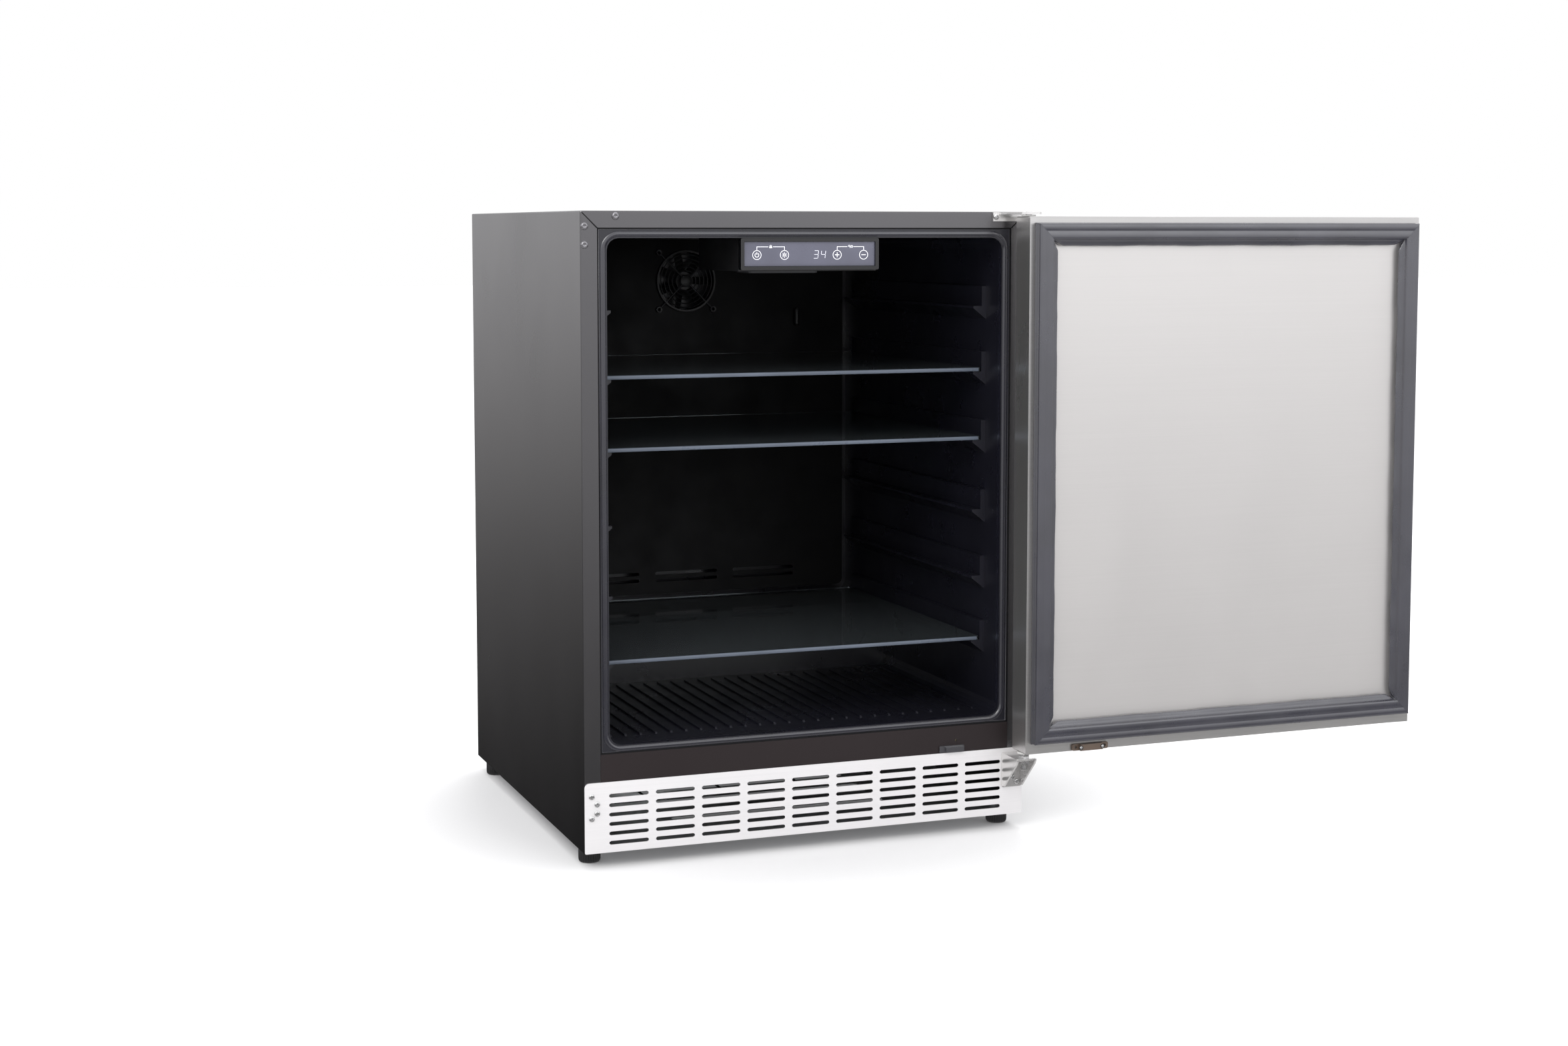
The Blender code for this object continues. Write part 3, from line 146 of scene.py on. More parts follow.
# Rounding of the CAD nodes' edges
BEVELS = {
    "toe_grille": 0.28, "front_rail": 0.25, "top_hinge_bracket": 0.5, "bottom_hinge_bracket": 0.5,
    "bottom_hinge_nut": 0.6, "bottom_hinge_pin": 0.35, "door_switch": 0.6, "display_bezel": 0.7,
    "control_housing": 1.0, "glass_shelf_upper": 0.7, "glass_shelf_middle": 0.7, "glass_shelf_lower": 0.7,
    "door_magnet": 0.6, "compressor_terminal_cover": 2.0, "evaporator_cover": 1.2, "liner": 0.6,
    "interior_lamp": 1.0, "rear_cover": 0.3, "drain_pan": 0.5,
}


def cabinet(x, y, z):
    """A point given in the cabinet's own millimetres, in the frame's metres."""
    return SHELL_LOW + Vector((x, y, z)) * MM


def cabinet_box(node):
    """A node's lowest and highest corners in the cabinet's own millimetres."""
    low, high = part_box(node)
    return (low - SHELL_LOW) / MM, (high - SHELL_LOW) / MM


# ---------------------------------------------------------------- materials

class Paint:
    """A Principled material and the few node chains that its surface detail needs."""

    def __init__(self, name, colour, roughness, metallic=0.0, **sockets):
        self.material = bpy.data.materials.new(name)
        self.material.use_nodes = True
        self.tree = self.material.node_tree
        self.shader = self.tree.nodes["Principled BSDF"]
        self.colour = colour
        self.roughness = roughness
        self.set("Base Color", (*colour, 1.0))
        self.set("Roughness", roughness)
        self.set("Metallic", metallic)
        for socket, value in sockets.items():
            self.set(socket.replace("_", " "), value)
        self.where = self.tree.nodes.new("ShaderNodeTexCoord").outputs["Object"]
        self.normal = None

    def set(self, socket, value):
        self.shader.inputs[socket].default_value = value

    def link(self, source, target):
        self.tree.links.new(source, target)

    def noise(self, stretch, detail=3.0, distortion=0.0):
        """Noise whose grain has the given number of cycles per metre along x, y and z."""
        mapping = self.tree.nodes.new("ShaderNodeMapping")
        mapping.inputs["Scale"].default_value = stretch
        self.link(self.where, mapping.inputs["Vector"])
        texture = self.tree.nodes.new("ShaderNodeTexNoise")
        texture.inputs["Scale"].default_value = 1.0
        texture.inputs["Detail"].default_value = detail
        texture.inputs["Distortion"].default_value = distortion
        self.link(mapping.outputs["Vector"], texture.inputs["Vector"])
        return texture.outputs["Fac"]

    def cells(self, scale):
        """Random value per cell, for spangled or flaked surfaces."""
        texture = self.tree.nodes.new("ShaderNodeTexVoronoi")
        texture.inputs["Scale"].default_value = scale
        self.link(self.where, texture.inputs["Vector"])
        grey = self.tree.nodes.new("ShaderNodeSeparateColor")
        self.link(texture.outputs["Color"], grey.inputs["Color"])
        return grey.outputs["Red"]

    def spread(self, source, low, high, start=0.3, end=0.7):
        """The source's middle range mapped to low..high."""
        node = self.tree.nodes.new("ShaderNodeMapRange")
        node.inputs["From Min"].default_value = start
        node.inputs["From Max"].default_value = end
        node.inputs["To Min"].default_value = low
        node.inputs["To Max"].default_value = high
        self.link(source, node.inputs["Value"])
        return node.outputs["Result"]

    def vary_roughness(self, source, low, high):
        self.link(self.spread(source, low, high), self.shader.inputs["Roughness"])
        return self

    def dull_on_top(self, gloss, dull):
        """The given roughness on upright faces, a duller one on faces that look up."""
        facing = self.tree.nodes.new("ShaderNodeSeparateXYZ")
        self.link(self.tree.nodes.new("ShaderNodeNewGeometry").outputs["Normal"], facing.inputs["Vector"])
        upward = self.spread(facing.outputs["Z"], 0.0, 1.0, 0.6, 0.95)
        blend = self.tree.nodes.new("ShaderNodeMix")
        self.link(upward, blend.inputs["Factor"])
        self.link(gloss, blend.inputs["A"])
        blend.inputs["B"].default_value = dull
        self.link(blend.outputs["Result"], self.shader.inputs["Roughness"])

    def vary_colour(self, source, dark, light, start=0.3, end=0.7):
        ramp = self.tree.nodes.new("ShaderNodeValToRGB")
        ramp.color_ramp.elements[0].position = start
        ramp.color_ramp.elements[1].position = end
        ramp.color_ramp.elements[0].color = (*[c * dark for c in self.colour], 1.0)
        ramp.color_ramp.elements[1].color = (*[min(c * light, 1.0) for c in self.colour], 1.0)
        self.link(source, ramp.inputs["Fac"])
        self.link(ramp.outputs["Color"], self.shader.inputs["Base Color"])
        return self

    def bump(self, source, depth_mm, strength=1.0):
        node = self.tree.nodes.new("ShaderNodeBump")
        node.inputs["Strength"].default_value = strength
        node.inputs["Distance"].default_value = depth_mm * MM
        self.link(source, node.inputs["Height"])
        if self.normal is not None:
            self.link(self.normal, node.inputs["Normal"])
        self.normal = node.outputs["Normal"]
        self.link(self.normal, self.shader.inputs["Normal"])
        return self


def powder_coat(name, colour, roughness, metallic, grain, depth):
    """Satin powder coat: fine orange peel, faint uneven gloss."""
    paint = Paint(name, colour, roughness, metallic)
    peel = paint.noise((grain, grain, grain), 4.0)
    paint.vary_colour(paint.noise((3.0, 3.0, 2.0), 3.0), 0.96, 1.04)
    gloss = paint.spread(paint.noise((6.0, 6.0, 4.0), 5.0), roughness - 0.03, roughness + 0.04)
    paint.dull_on_top(gloss, 0.8)
    paint.bump(peel, depth, 0.7)
    return paint.material


def brushed(name, colour, roughness, along, depth=0.004, haze=0.05, streak=0.06, metallic=1.0):
    """Brushed sheet: long fine scratches along one axis, broken by soft wipe marks."""
    coarse = {"x": (5.0, 420.0, 700.0), "y": (420.0, 5.0, 700.0), "z": (700.0, 420.0, 5.0)}[along]
    fine = tuple(value * 3.1 for value in coarse)
    paint = Paint(name, colour, roughness, metallic)
    scratches = paint.noise(coarse, 6.0)
    paint.vary_colour(scratches, 1.0 - streak, 1.0 + streak)
    paint.vary_roughness(paint.noise((6.0, 6.0, 4.0), 5.0, 0.6), roughness - haze, roughness + haze)
    paint.bump(scratches, depth, 0.6)
    paint.bump(paint.noise(fine, 4.0), depth * 0.5, 0.5)
    return paint.material


def moulded(name, colour, roughness, grain=900.0, depth=0.006, **sockets):
    """Moulded plastic or rubber: fine texture and slightly uneven gloss."""
    paint = Paint(name, colour, roughness, 0.0, **sockets)
    paint.vary_colour(paint.noise((14.0, 14.0, 14.0), 5.0), 0.85, 1.15)
    paint.vary_roughness(paint.noise((22.0, 22.0, 22.0), 6.0), roughness - 0.05, roughness + 0.07)
    paint.bump(paint.noise((grain, grain, grain), 3.0), depth, 0.6)
    return paint.material


def plated(name, colour, roughness):
    """Zinc-plated small hardware: bright, with a faint bloom."""
    paint = Paint(name, colour, roughness, 1.0)
    paint.vary_colour(paint.noise((160.0, 160.0, 160.0), 5.0), 0.82, 1.08)
    paint.vary_roughness(paint.noise((240.0, 240.0, 240.0), 4.0), roughness - 0.06, roughness + 0.1)
    paint.bump(paint.noise((1400.0, 1400.0, 1400.0), 2.0), 0.006, 0.4)
    return paint.material


def galvanised_sheet():
    """Hot-dip sheet: spangle cells of slightly different brightness and gloss."""
    paint = Paint("galvanised", (0.52, 0.53, 0.54), 0.42, 0.85)
    spangle = paint.cells(170.0)
    paint.vary_colour(spangle, 0.95, 1.05, 0.0, 1.0)
    paint.vary_roughness(spangle, 0.40, 0.47)
    paint.bump(paint.noise((500.0, 500.0, 500.0), 4.0), 0.01, 0.4)
    return paint.material


def insulation():
    """Cut rigid foam: fine open cells."""
    paint = Paint("foam", (0.74, 0.66, 0.44), 0.95)
    paint.vary_colour(paint.noise((40.0, 40.0, 40.0), 6.0), 0.85, 1.08)
    paint.bump(paint.noise((1200.0, 1200.0, 1200.0), 2.0), 0.3, 0.8)
    return paint.material


def shelf_glass():
    """Grey-tinted tempered glass with uneven gloss from wiping."""
    paint = Paint("tinted_glass", (0.34, 0.38, 0.40), 0.03, 0.0, Transmission_Weight=0.9, IOR=1.5)
    paint.vary_roughness(paint.noise((12.0, 30.0, 12.0), 6.0, 0.8), 0.015, 0.07)
    return paint.material


def lit(name, colour, emission, strength):
    """Lit marking with slightly uneven colour."""
    paint = Paint(name, colour, 0.4, 0.0, Emission_Strength=strength)
    paint.vary_colour(paint.noise((300.0, 300.0, 300.0), 2.0), 0.9, 1.0)
    paint.set("Emission Color", (*emission, 1.0))
    return paint.material


def seal_vinyl():
    """Extruded soft vinyl: satin face with a fine grain and slow, shallow waves."""
    paint = Paint("vinyl_grey", (0.032, 0.032, 0.045), 0.3, 0.0, IOR=2.0, Coat_Weight=0.5,
                  Coat_Roughness=0.16)
    paint.vary_colour(paint.noise((9.0, 9.0, 9.0), 6.0, 0.4), 0.78, 1.2)
    paint.vary_roughness(paint.noise((26.0, 26.0, 26.0), 6.0), 0.24, 0.38)
    paint.bump(paint.noise((50.0, 50.0, 50.0), 3.0), 0.25, 0.3)
    paint.bump(paint.noise((1300.0, 1300.0, 1300.0), 2.0), 0.006, 0.5)
    return paint.material


def make_materials():
    """One material for each of the record's slots."""
    return {
        "charcoal_paint": powder_coat("charcoal_paint", (0.166, 0.163, 0.169), 0.24, 0.97, 900.0, 0.006),
        "brown_black_paint": powder_coat("brown_black_paint", (0.034, 0.026, 0.027), 0.42, 0.5,
                                         520.0, 0.05),
        "liner_plastic": moulded("liner_plastic", (0.0100, 0.0100, 0.0160), 0.30, 700.0, 0.008,
                                 IOR=1.6, Coat_Weight=0.2, Coat_Roughness=0.2),
        "stainless": brushed("stainless", (0.66, 0.65, 0.64), 0.30, "x", 0.0015, 0.03, 0.03, 0.9),
        "bright_stainless": brushed("bright_stainless", (0.78, 0.77, 0.76), 0.27, "x", 0.001, 0.03, 0.02),
        "galvanised": galvanised_sheet(),
        "zinc": plated("zinc", (0.80, 0.80, 0.80), 0.22),
        "foam": insulation(),
        "vinyl_grey": seal_vinyl(),
        "black_plastic": moulded("black_plastic", (0.013, 0.013, 0.014), 0.42, 1000.0, 0.012),
        "white_nylon": moulded("white_nylon", (0.78, 0.78, 0.76), 0.38, 800.0, 0.004),
        "tinted_glass": shelf_glass(),
        "display_grey": moulded("display_grey", (0.105, 0.107, 0.145), 0.3, 600.0, 0.001,
                                Coat_Weight=0.2, Coat_Roughness=0.12),
        "clear_bezel": moulded("clear_bezel", (0.005, 0.005, 0.006), 0.12, 500.0, 0.001,
                               Coat_Weight=0.4, Coat_Roughness=0.05),
        "circuit_green": moulded("circuit_green", (0.015, 0.12, 0.05), 0.35, 300.0, 0.02),
        "copper": plated("copper", (0.74, 0.36, 0.22), 0.3),
        "aluminium": brushed("aluminium", (0.74, 0.75, 0.76), 0.32, "x"),
        "compressor_black": powder_coat("compressor_black", (0.012, 0.012, 0.013), 0.3, 0.2, 400.0, 0.02),
        "lamp_lens": moulded("lamp_lens", (0.045, 0.046, 0.05), 0.5, 600.0, 0.002),
    }


MATERIALS = make_materials()

# Finishes of single pieces that differ from their slot's
MARKING = lit("marking_white", (0.9, 0.9, 0.92), (0.92, 0.94, 1.0), 0.55)
DIM_MARKING = lit("marking_dim", (0.8, 0.8, 0.85), (0.85, 0.88, 1.0), 0.35)
GRILLE_STEEL = brushed("grille_stainless", (0.90, 0.885, 0.89), 0.5, "x", 0.001, 0.03, 0.015, 0.42)
BRACKET_STEEL = brushed("bracket_stainless", (0.82, 0.81, 0.80), 0.22, "z", 0.0004, 0.03, 0.01, 0.8)
PANEL_STEEL = brushed("panel_stainless", (0.79, 0.77, 0.755), 0.40, "x", 0.0004, 0.03, 0.008, 0.8)
# Near-black, darker than the liner it sits in: painted shade of the compartment's deep back
COVER_SHADE_BLACK = moulded("cover_painted_shade_black", (0.0012, 0.0012, 0.0018), 0.5, 700.0, 0.01, Specular_IOR_Level=0.2)
SWITCH_PLASTIC = moulded("switch_black", (0.050, 0.050, 0.056), 0.2, 700.0, 0.004, IOR=1.8,
                         Coat_Weight=0.8, Coat_Roughness=0.08)
PLUG_PAINT = powder_coat("plug_charcoal", (0.27, 0.265, 0.28), 0.22, 0.8, 700.0, 0.004)
GROUND_GLASS = moulded("ground_glass_edge", (0.10, 0.12, 0.155), 0.3, 900.0, 0.01)
# Near-black for strips laid where there is only shade: painted shadow
SHADOW_BLACK = moulded("painted_shadow_black", (0.002, 0.002, 0.003), 0.8, 900.0, 0.01)
# Liner plastic with a heavier coat and a lighter colour than the liner's own: the gloss is real, the
# extra lightness a painted highlight along the opening lip and the flange's rolled edge
LIP_HIGHLIGHT_PLASTIC = moulded("liner_lip_highlight", (0.012, 0.012, 0.020), 0.24, 700.0, 0.006, IOR=1.7, Coat_Weight=0.8,
                      Coat_Roughness=0.18)
MAGNET_BROWN = moulded("magnet_brown", (0.11, 0.078, 0.058), 0.4, 600.0, 0.03)

OWN_FINISH = {
    "door_magnet": MAGNET_BROWN, "toe_grille": GRILLE_STEEL, "door_inner_panel": PANEL_STEEL,
    "evaporator_cover": COVER_SHADE_BLACK, "door_switch": SWITCH_PLASTIC,
    "top_hinge_bracket": BRACKET_STEEL, "bottom_hinge_bracket": BRACKET_STEEL,
}


# ---------------------------------------------------------------- mesh helpers

def piece(name, bm, material, body, smooth_angle=None):
    """New object from a bmesh given in the frame's metres, riding on a body."""
    mesh = bpy.data.meshes.new(name)
    bmesh.ops.recalc_face_normals(bm, faces=bm.faces)
    bm.to_mesh(mesh)
    bm.free()
    mesh.materials.append(material)
    thing = bpy.data.objects.new(name, mesh)
    bpy.context.scene.collection.objects.link(thing)
    if smooth_angle is not None:
        mesh.shade_smooth()
        mesh.set_sharp_from_angle(angle=math.radians(smooth_angle))
    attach(thing, body)
    return thing


def outline_prism(bm, loop, low, high, place):
    """Closed outline extruded between two depths; place turns (a, b, depth) into a point."""
    near = [bm.verts.new(place(a, b, low)) for a, b in loop]
    far = [bm.verts.new(place(a, b, high)) for a, b in loop]
    bm.faces.new(near)
    bm.faces.new(far)
    for i in range(len(loop)):
        j = (i + 1) % len(loop)
        bm.faces.new((near[i], near[j], far[j], far[i]))


def band_prism(bm, outer, inner, low, high, place, closed=True):
    """Band between two outlines of equal length, extruded between two depths."""
    rings = [[bm.verts.new(place(a, b, depth)) for a, b in loop]
             for loop, depth in ((outer, low), (inner, low), (inner, high), (outer, high))]
    count = len(outer)
    spans = count if closed else count - 1
    for i in range(spans):
        j = (i + 1) % count
        for k in range(4):
            here = rings[k]
            after = rings[(k + 1) % 4]
            bm.faces.new((here[i], here[j], after[j], after[i]))
    if not closed:
        bm.faces.new([ring[0] for ring in rings])
        bm.faces.new([ring[-1] for ring in rings])


def arc(x, z, radius, start, end, steps):
    """Points on an arc, its ends given in degrees."""
    return [(x + radius * math.cos(math.radians(start + (end - start) * i / steps)),
             z + radius * math.sin(math.radians(start + (end - start) * i / steps)))
            for i in range(steps + 1)]


def turned(bm, profile, steps, place):
    """Solid of revolution from (radius, depth) points that start and end on the axis."""
    first = bm.verts.new(place(0.0, 0.0, profile[0][1]))
    last = bm.verts.new(place(0.0, 0.0, profile[-1][1]))
    rings = [[bm.verts.new(place(r * math.cos(math.tau * i / steps),
                                 r * math.sin(math.tau * i / steps), depth))
              for i in range(steps)] for r, depth in profile[1:-1]]
    for i in range(steps):
        j = (i + 1) % steps
        bm.faces.new((first, rings[0][i], rings[0][j]))
        bm.faces.new((last, rings[-1][j], rings[-1][i]))
        for near, far in zip(rings, rings[1:]):
            bm.faces.new((near[i], near[j], far[j], far[i]))


def ring_of(bm, profile, steps, place):
    """Ring of revolution from a closed loop of (radius, depth) points."""
    rings = [[bm.verts.new(place(r * math.cos(math.tau * i / steps),
                                 r * math.sin(math.tau * i / steps), depth))
              for i in range(steps)] for r, depth in profile]
    for near, far in zip(rings, rings[1:] + rings[:1]):
        for i in range(steps):
            j = (i + 1) % steps
            bm.faces.new((near[i], near[j], far[j], far[i]))


def facing_front(x, y, z):
    """Placement about an axis along y; depth grows to the back."""
    return lambda a, b, depth: cabinet(x + a, y + depth, z + b)


def upright(x, y, z):
    """Placement about a vertical axis; depth grows upwards."""
    return lambda a, b, depth: cabinet(x + a, y + b, z + depth)


def flat_front(y):
    """Outline in x and z, depth growing to the back from y."""
    return lambda a, b, depth: cabinet(a, y + depth, b)


# ---------------------------------------------------------------- fasteners and plugs

def cross_head(bm, place, radius=HEAD_RADIUS, height=HEAD_HEIGHT, steps=32):
    """Pan head with a cross recess: rings of points whose depth dips inside the cross."""
    def dome(r):
        edge = max(0.0, r / radius)
        return -height * (1.0 - edge ** 4) ** 0.5

    def recess(a, b):
        arm, half = radius * 0.62, radius * 0.13
        inside = min(abs(a), abs(b)) < half and max(abs(a), abs(b)) < arm
        return height * 0.75 if inside else 0.0

    radii = [radius * k / 14.0 for k in range(1, 14)] + [radius * 0.985, radius]
    centre = bm.verts.new(place(0.0, 0.0, dome(0.0) + recess(0.0, 0.0)))
    rings = []
    for r in radii:
        ring = []
        for i in range(steps):
            a = r * math.cos(math.tau * i / steps)
            b = r * math.sin(math.tau * i / steps)
            ring.append(bm.verts.new(place(a, b, dome(r) + recess(a, b))))
        rings.append(ring)
    for i in range(steps):
        j = (i + 1) % steps
        bm.faces.new((centre, rings[0][i], rings[0][j]))
        for near, far in zip(rings, rings[1:]):
            bm.faces.new((near[i], near[j], far[j], far[i]))
    return rings[-1]


def screw(name, x, seat_y, z, length, turn):
    """Zinc-plated pan-head screw with a cross recess and a threaded shank."""
    plain = facing_front(x, seat_y, z)
    c, s = math.cos(turn), math.sin(turn)

    def turned_place(a, b, depth):
        return plain(a * c - b * s, a * s + b * c, depth)

    bm = bmesh.new()
    rim = cross_head(bm, turned_place)
    shank = [(1.9, 0.0)]
    for k in range(int(length)):
        shank += [(1.9, k + 0.35), (1.6, k + 0.8)]
    shank.append((0.8, length))
    steps = len(rim)
    previous = rim
    for r, depth in shank:
        ring = [bm.verts.new(turned_place(r * math.cos(math.tau * i / steps),
                                          r * math.sin(math.tau * i / steps), depth))
                for i in range(steps)]
        for i in range(steps):
            j = (i + 1) % steps
            bm.faces.new((previous[i], previous[j], ring[j], ring[i]))
        previous = ring
    bm.faces.new(previous)
    return piece(name, bm, MATERIALS["zinc"], "cabinet", 40.0)


def make_hinge_screws():
    """Cross-recess screws in place of the plain ones in both hinge brackets."""
    for group, count in (("top_hinge_screw", 3), ("bottom_hinge_screw", 4)):
        for i in range(1, count + 1):
            node = f"{group}_{i}"
            low, high = cabinet_box(node)
            middle = (low + high) / 2
            length = high.y - low.y - HEAD_SEAT
            thing = screw(f"{node}_cross", middle.x, low.y + HEAD_SEAT, middle.z, length, 0.5 + 0.9 * i)
            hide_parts(node)


def make_grille_screws():
    """Four screws in the grille's left edge."""
    seat = cabinet_box("toe_grille")[0].y - 0.05
    for i, (x, z) in enumerate(GRILLE_SCREWS, 1):
        screw(f"grille_screw_{i}", x, seat, z, GRILLE_SCREW_LENGTH, 0.7 * i)


def make_hole_plugs():
    """Domed plugs with a dimple in the three spare hinge holes."""
    profile = ((0.0, -1.5), (0.9, -1.6), (1.7, -2.1), (2.6, -2.35), (3.6, -2.0), (4.4, -1.2),
               (PLUG_RADIUS, -0.4), (PLUG_RADIUS, -0.05), (2.1, 0.0), (2.1, 2.5), (1.2, 4.0), (0.0, 4.2))
    for i, (x, z) in enumerate(PLUG_HOLES, 1):
        bm = bmesh.new()
        turned(bm, profile, 28, facing_front(x, 0.0, z))
        piece(f"hinge_hole_plug_{i}", bm, PLUG_PAINT, "cabinet", 50.0)


def make_magnet_screws():
    """Two screws in sleeves that hold the switch magnet to the door's lower edge."""
    low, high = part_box("door_magnet")
    middle_z = (low.z + high.z) / 2
    for i, share in enumerate((0.2, 0.8), 1):
        x = low.x + (high.x - low.x) * share

        def place(a, b, depth, x=x):
            return Vector((x, low.y, middle_z)) + Vector((a, depth, b)) * (MAGNET_SCREW_SCALE * MM)

        bm = bmesh.new()
        rim = cross_head(bm, place, 3.4, 1.6, 24)
        bm.faces.new(rim)
        piece(f"magnet_screw_{i}", bm, MATERIALS["zinc"], "door", 40.0)
        sleeve = bmesh.new()
        ring_of(sleeve, ((3.6, 0.2), (3.7, -0.7), (4.3, -0.9), (4.8, -0.5), (4.8, 0.2)), 24, place)
        piece(f"magnet_sleeve_{i}", sleeve, MATERIALS["black_plastic"], "door", 40.0)


def make_grommets():
    """Rubber grommets that carry the compressor's feet."""
    low, high = cabinet_box("compressor")
    middle = (low + high) / 2
    base = cabinet_box("base_plate")[1].z - 6.0
    foot = low.z
    profile = (
        (4.6, 2.7), (9.0, 2.7), (10.0, 5.0), (8.6, 8.5), (9.6, 12.5), (8.8, 16.5), (9.0, foot - 0.3),
        (5.4, foot - 0.3), (5.4, foot + 4.6), (8.4, foot + 4.8), (8.0, foot + 6.8), (4.6, foot + 7.0),
    )
    reach_x, reach_y = GROMMET_REACH
    for i, (sx, sy) in enumerate(((-1, -1), (1, -1), (1, 1), (-1, 1)), 1):
        place = upright(middle.x + sx * reach_x, middle.y + sy * reach_y, min(base, 0.0))
        bm = bmesh.new()
        ring_of(bm, profile, 24, place)
        piece(f"compressor_grommet_{i}", bm, MATERIALS["black_plastic"], "cabinet", 40.0)


# ---------------------------------------------------------------- door seal

def wave(t, phase):
    """Gentle, uneven ripple of a soft extrusion along its length."""
    return (math.sin(9.0 * t + phase) + 0.6 * math.sin(23.0 * t + 2.3 * phase)
            + 0.35 * math.sin(51.0 * t + 4.1 * phase)) / 1.95


def seal_run(bm, corner_a, corner_b, inward, phase):
    """One straight run of the seal, mitred at both ends, its inner lip slightly wavy."""
    along = (corner_b - corner_a).normalized()
    length = (corner_b - corner_a).length / MM
    outwards = Vector((0.0, -1.0, 0.0))
    rings = []
    for s in range(SEAL_SEGMENTS + 1):
        share = 0.5 - 0.5 * math.cos(math.pi * s / SEAL_SEGMENTS)
        ring = []
        for d, h in SEAL_PROFILE:
            start, end = d + 0.22, length - d - 0.22
            at = start + (end - start) * share
            lip = max(0.0, d - SEAL_LIP_FROM) / (SEAL_WIDTH - SEAL_LIP_FROM)
            near_end = min(at - start, end - at)
            notch = 3.2 * lip * math.exp(-((near_end / 3.5) ** 2))
            fade = min(1.0, near_end / 60.0)
            across = d + SEAL_LIP_WAVE * lip * fade * wave(at / length * 3.0, phase) - notch - 0.6 * lip
            rise = h + 0.35 * lip * fade * wave(at / length * 4.0, phase + 1.0)
            ring.append(bm.verts.new(corner_a + along * (at * MM) + inward * (across * MM)
                                     + outwards * (rise * MM)))
        rings.append(ring)
    count = len(SEAL_PROFILE)
    for near, far in zip(rings, rings[1:]):
        for k in range(count):
            j = (k + 1) % count
            bm.faces.new((near[k], near[j], far[j], far[k]))
    bm.faces.new(rings[0])
    bm.faces.new(rings[-1])


def make_seal():
    """Magnetic door seal: four mitred runs of a bellows section with welded corners."""
    low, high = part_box("door_gasket")
    y = high.y
    corners = [Vector((low.x, y, low.z)), Vector((high.x, y, low.z)),
               Vector((high.x, y, high.z)), Vector((low.x, y, high.z))]
    inwards = (Vector((0, 0, 1)), Vector((-1, 0, 0)), Vector((0, 0, -1)), Vector((1, 0, 0)))
    bm = bmesh.new()
    for i in range(4):
        seal_run(bm, corners[i], corners[(i + 1) % 4], inwards[i], 1.0 + 1.7 * i)
    seal = piece("door_seal", bm, MATERIALS["vinyl_grey"], "door", 55.0)
    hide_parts("door_gasket")
    for i, corner in enumerate(corners, 1):
        weld = bmesh.new()
        seal_weld(weld, corner, inwards[i - 1] + inwards[(i + 2) % 4], low.y)
        piece(f"seal_corner_weld_{i}", weld, MATERIALS["vinyl_grey"], "door", 50.0)


def seal_weld(bm, corner, diagonal, face_y):
    """Thin flash of melted vinyl along a mitre, following the section's upper side."""
    side = Vector((diagonal.z, 0.0, -diagonal.x)).normalized()
    upper = [(d, h) for d, h in SEAL_UPPER_SIDE if d < 28.5]
    rows = []
    for d, h in upper:
        row = []
        for across, lift in ((-0.55, -0.5), (-0.3, 0.18), (0.3, 0.18), (0.55, -0.5)):
            point = corner + diagonal * (d * MM) + side * (across * MM)
            point.y = max(corner.y - (h + lift) * MM, face_y - 0.15 * MM)
            row.append(bm.verts.new(point))
        rows.append(row)
    for near, far in zip(rows, rows[1:]):
        for k in range(4):
            j = (k + 1) % 4
            bm.faces.new((near[k], near[j], far[j], far[k]))
    bm.faces.new(rows[0])
    bm.faces.new(rows[-1])


# ---------------------------------------------------------------- feet, opening, shelves, guard, rear

def make_foot(name):
    """Levelling foot: fluted hand grip under a collar, on a threaded stud."""
    low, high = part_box(name)
    x = (low.x + high.x) / 2
    y = (low.y + high.y) / 2
    radius = (high.x - low.x) / 2 / MM
    bm = bmesh.new()

    def point(r, angle, z):
        return bm.verts.new((x + r * MM * math.cos(angle), y + r * MM * math.sin(angle), low.z + z * MM))

    angles = [math.tau * i / FOOT_STEPS for i in range(FOOT_STEPS)]
    rings = []
    for inset, z, depth in FOOT_GRIP:
        ring = []
        for angle in angles:
            flute = depth * (0.5 + 0.5 * math.cos(angle * FOOT_FLUTES)) ** 2
            ring.append(point(radius - inset + 0.35 * depth - flute, angle, z))
        rings.append(ring)
    stud = [(radius - 2.2, 18.6), (4.0, 18.7)]
    top = (high.z - low.z) / MM
    for k in range(int((top - 20.0) / FOOT_THREAD_PITCH)):
        stud += [(4.0, 19.6 + FOOT_THREAD_PITCH * k), (3.4, 20.3 + FOOT_THREAD_PITCH * k)]
    stud.append((2.6, top))
    for r, z in stud:
        rings.append([point(r, angle, z) for angle in angles])
    for near, far in zip(rings, rings[1:]):
        for i in range(FOOT_STEPS):
            j = (i + 1) % FOOT_STEPS
            bm.faces.new((near[i], near[j], far[j], far[i]))
    bm.faces.new(rings[0])
    bm.faces.new(rings[-1])
    thing = piece(f"{name}_fluted", bm, MATERIALS["black_plastic"], "levelling_" + name,
                  40.0)
    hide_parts(name)


def tube_along(bm, path, radius, steps=10, closed=True):
    """Round tube along points in metres."""
    rings = []
    side = None
    count = len(path)
    for i, here in enumerate(path):
        before = path[(i - 1) % count] if closed or i else here
        after = path[(i + 1) % count] if closed or i < count - 1 else here
        tangent = (after - before).normalized()
        side = Vector((0.0, 1.0, 0.0)) if side is None else side
        side = (side - tangent * side.dot(tangent)).normalized()
        other = tangent.cross(side)
        rings.append([bm.verts.new(here + radius * (math.cos(math.tau * k / steps) * side
                                                    + math.sin(math.tau * k / steps) * other))
                      for k in range(steps)])
    pairs = zip(rings, rings[1:] + rings[:1]) if closed else zip(rings, rings[1:])
    for near, far in pairs:
        for k in range(steps):
            j = (k + 1) % steps
            bm.faces.new((near[k], near[j], far[j], far[k]))
    if not closed:
        bm.faces.new(rings[0])
        bm.faces.new(rings[-1])


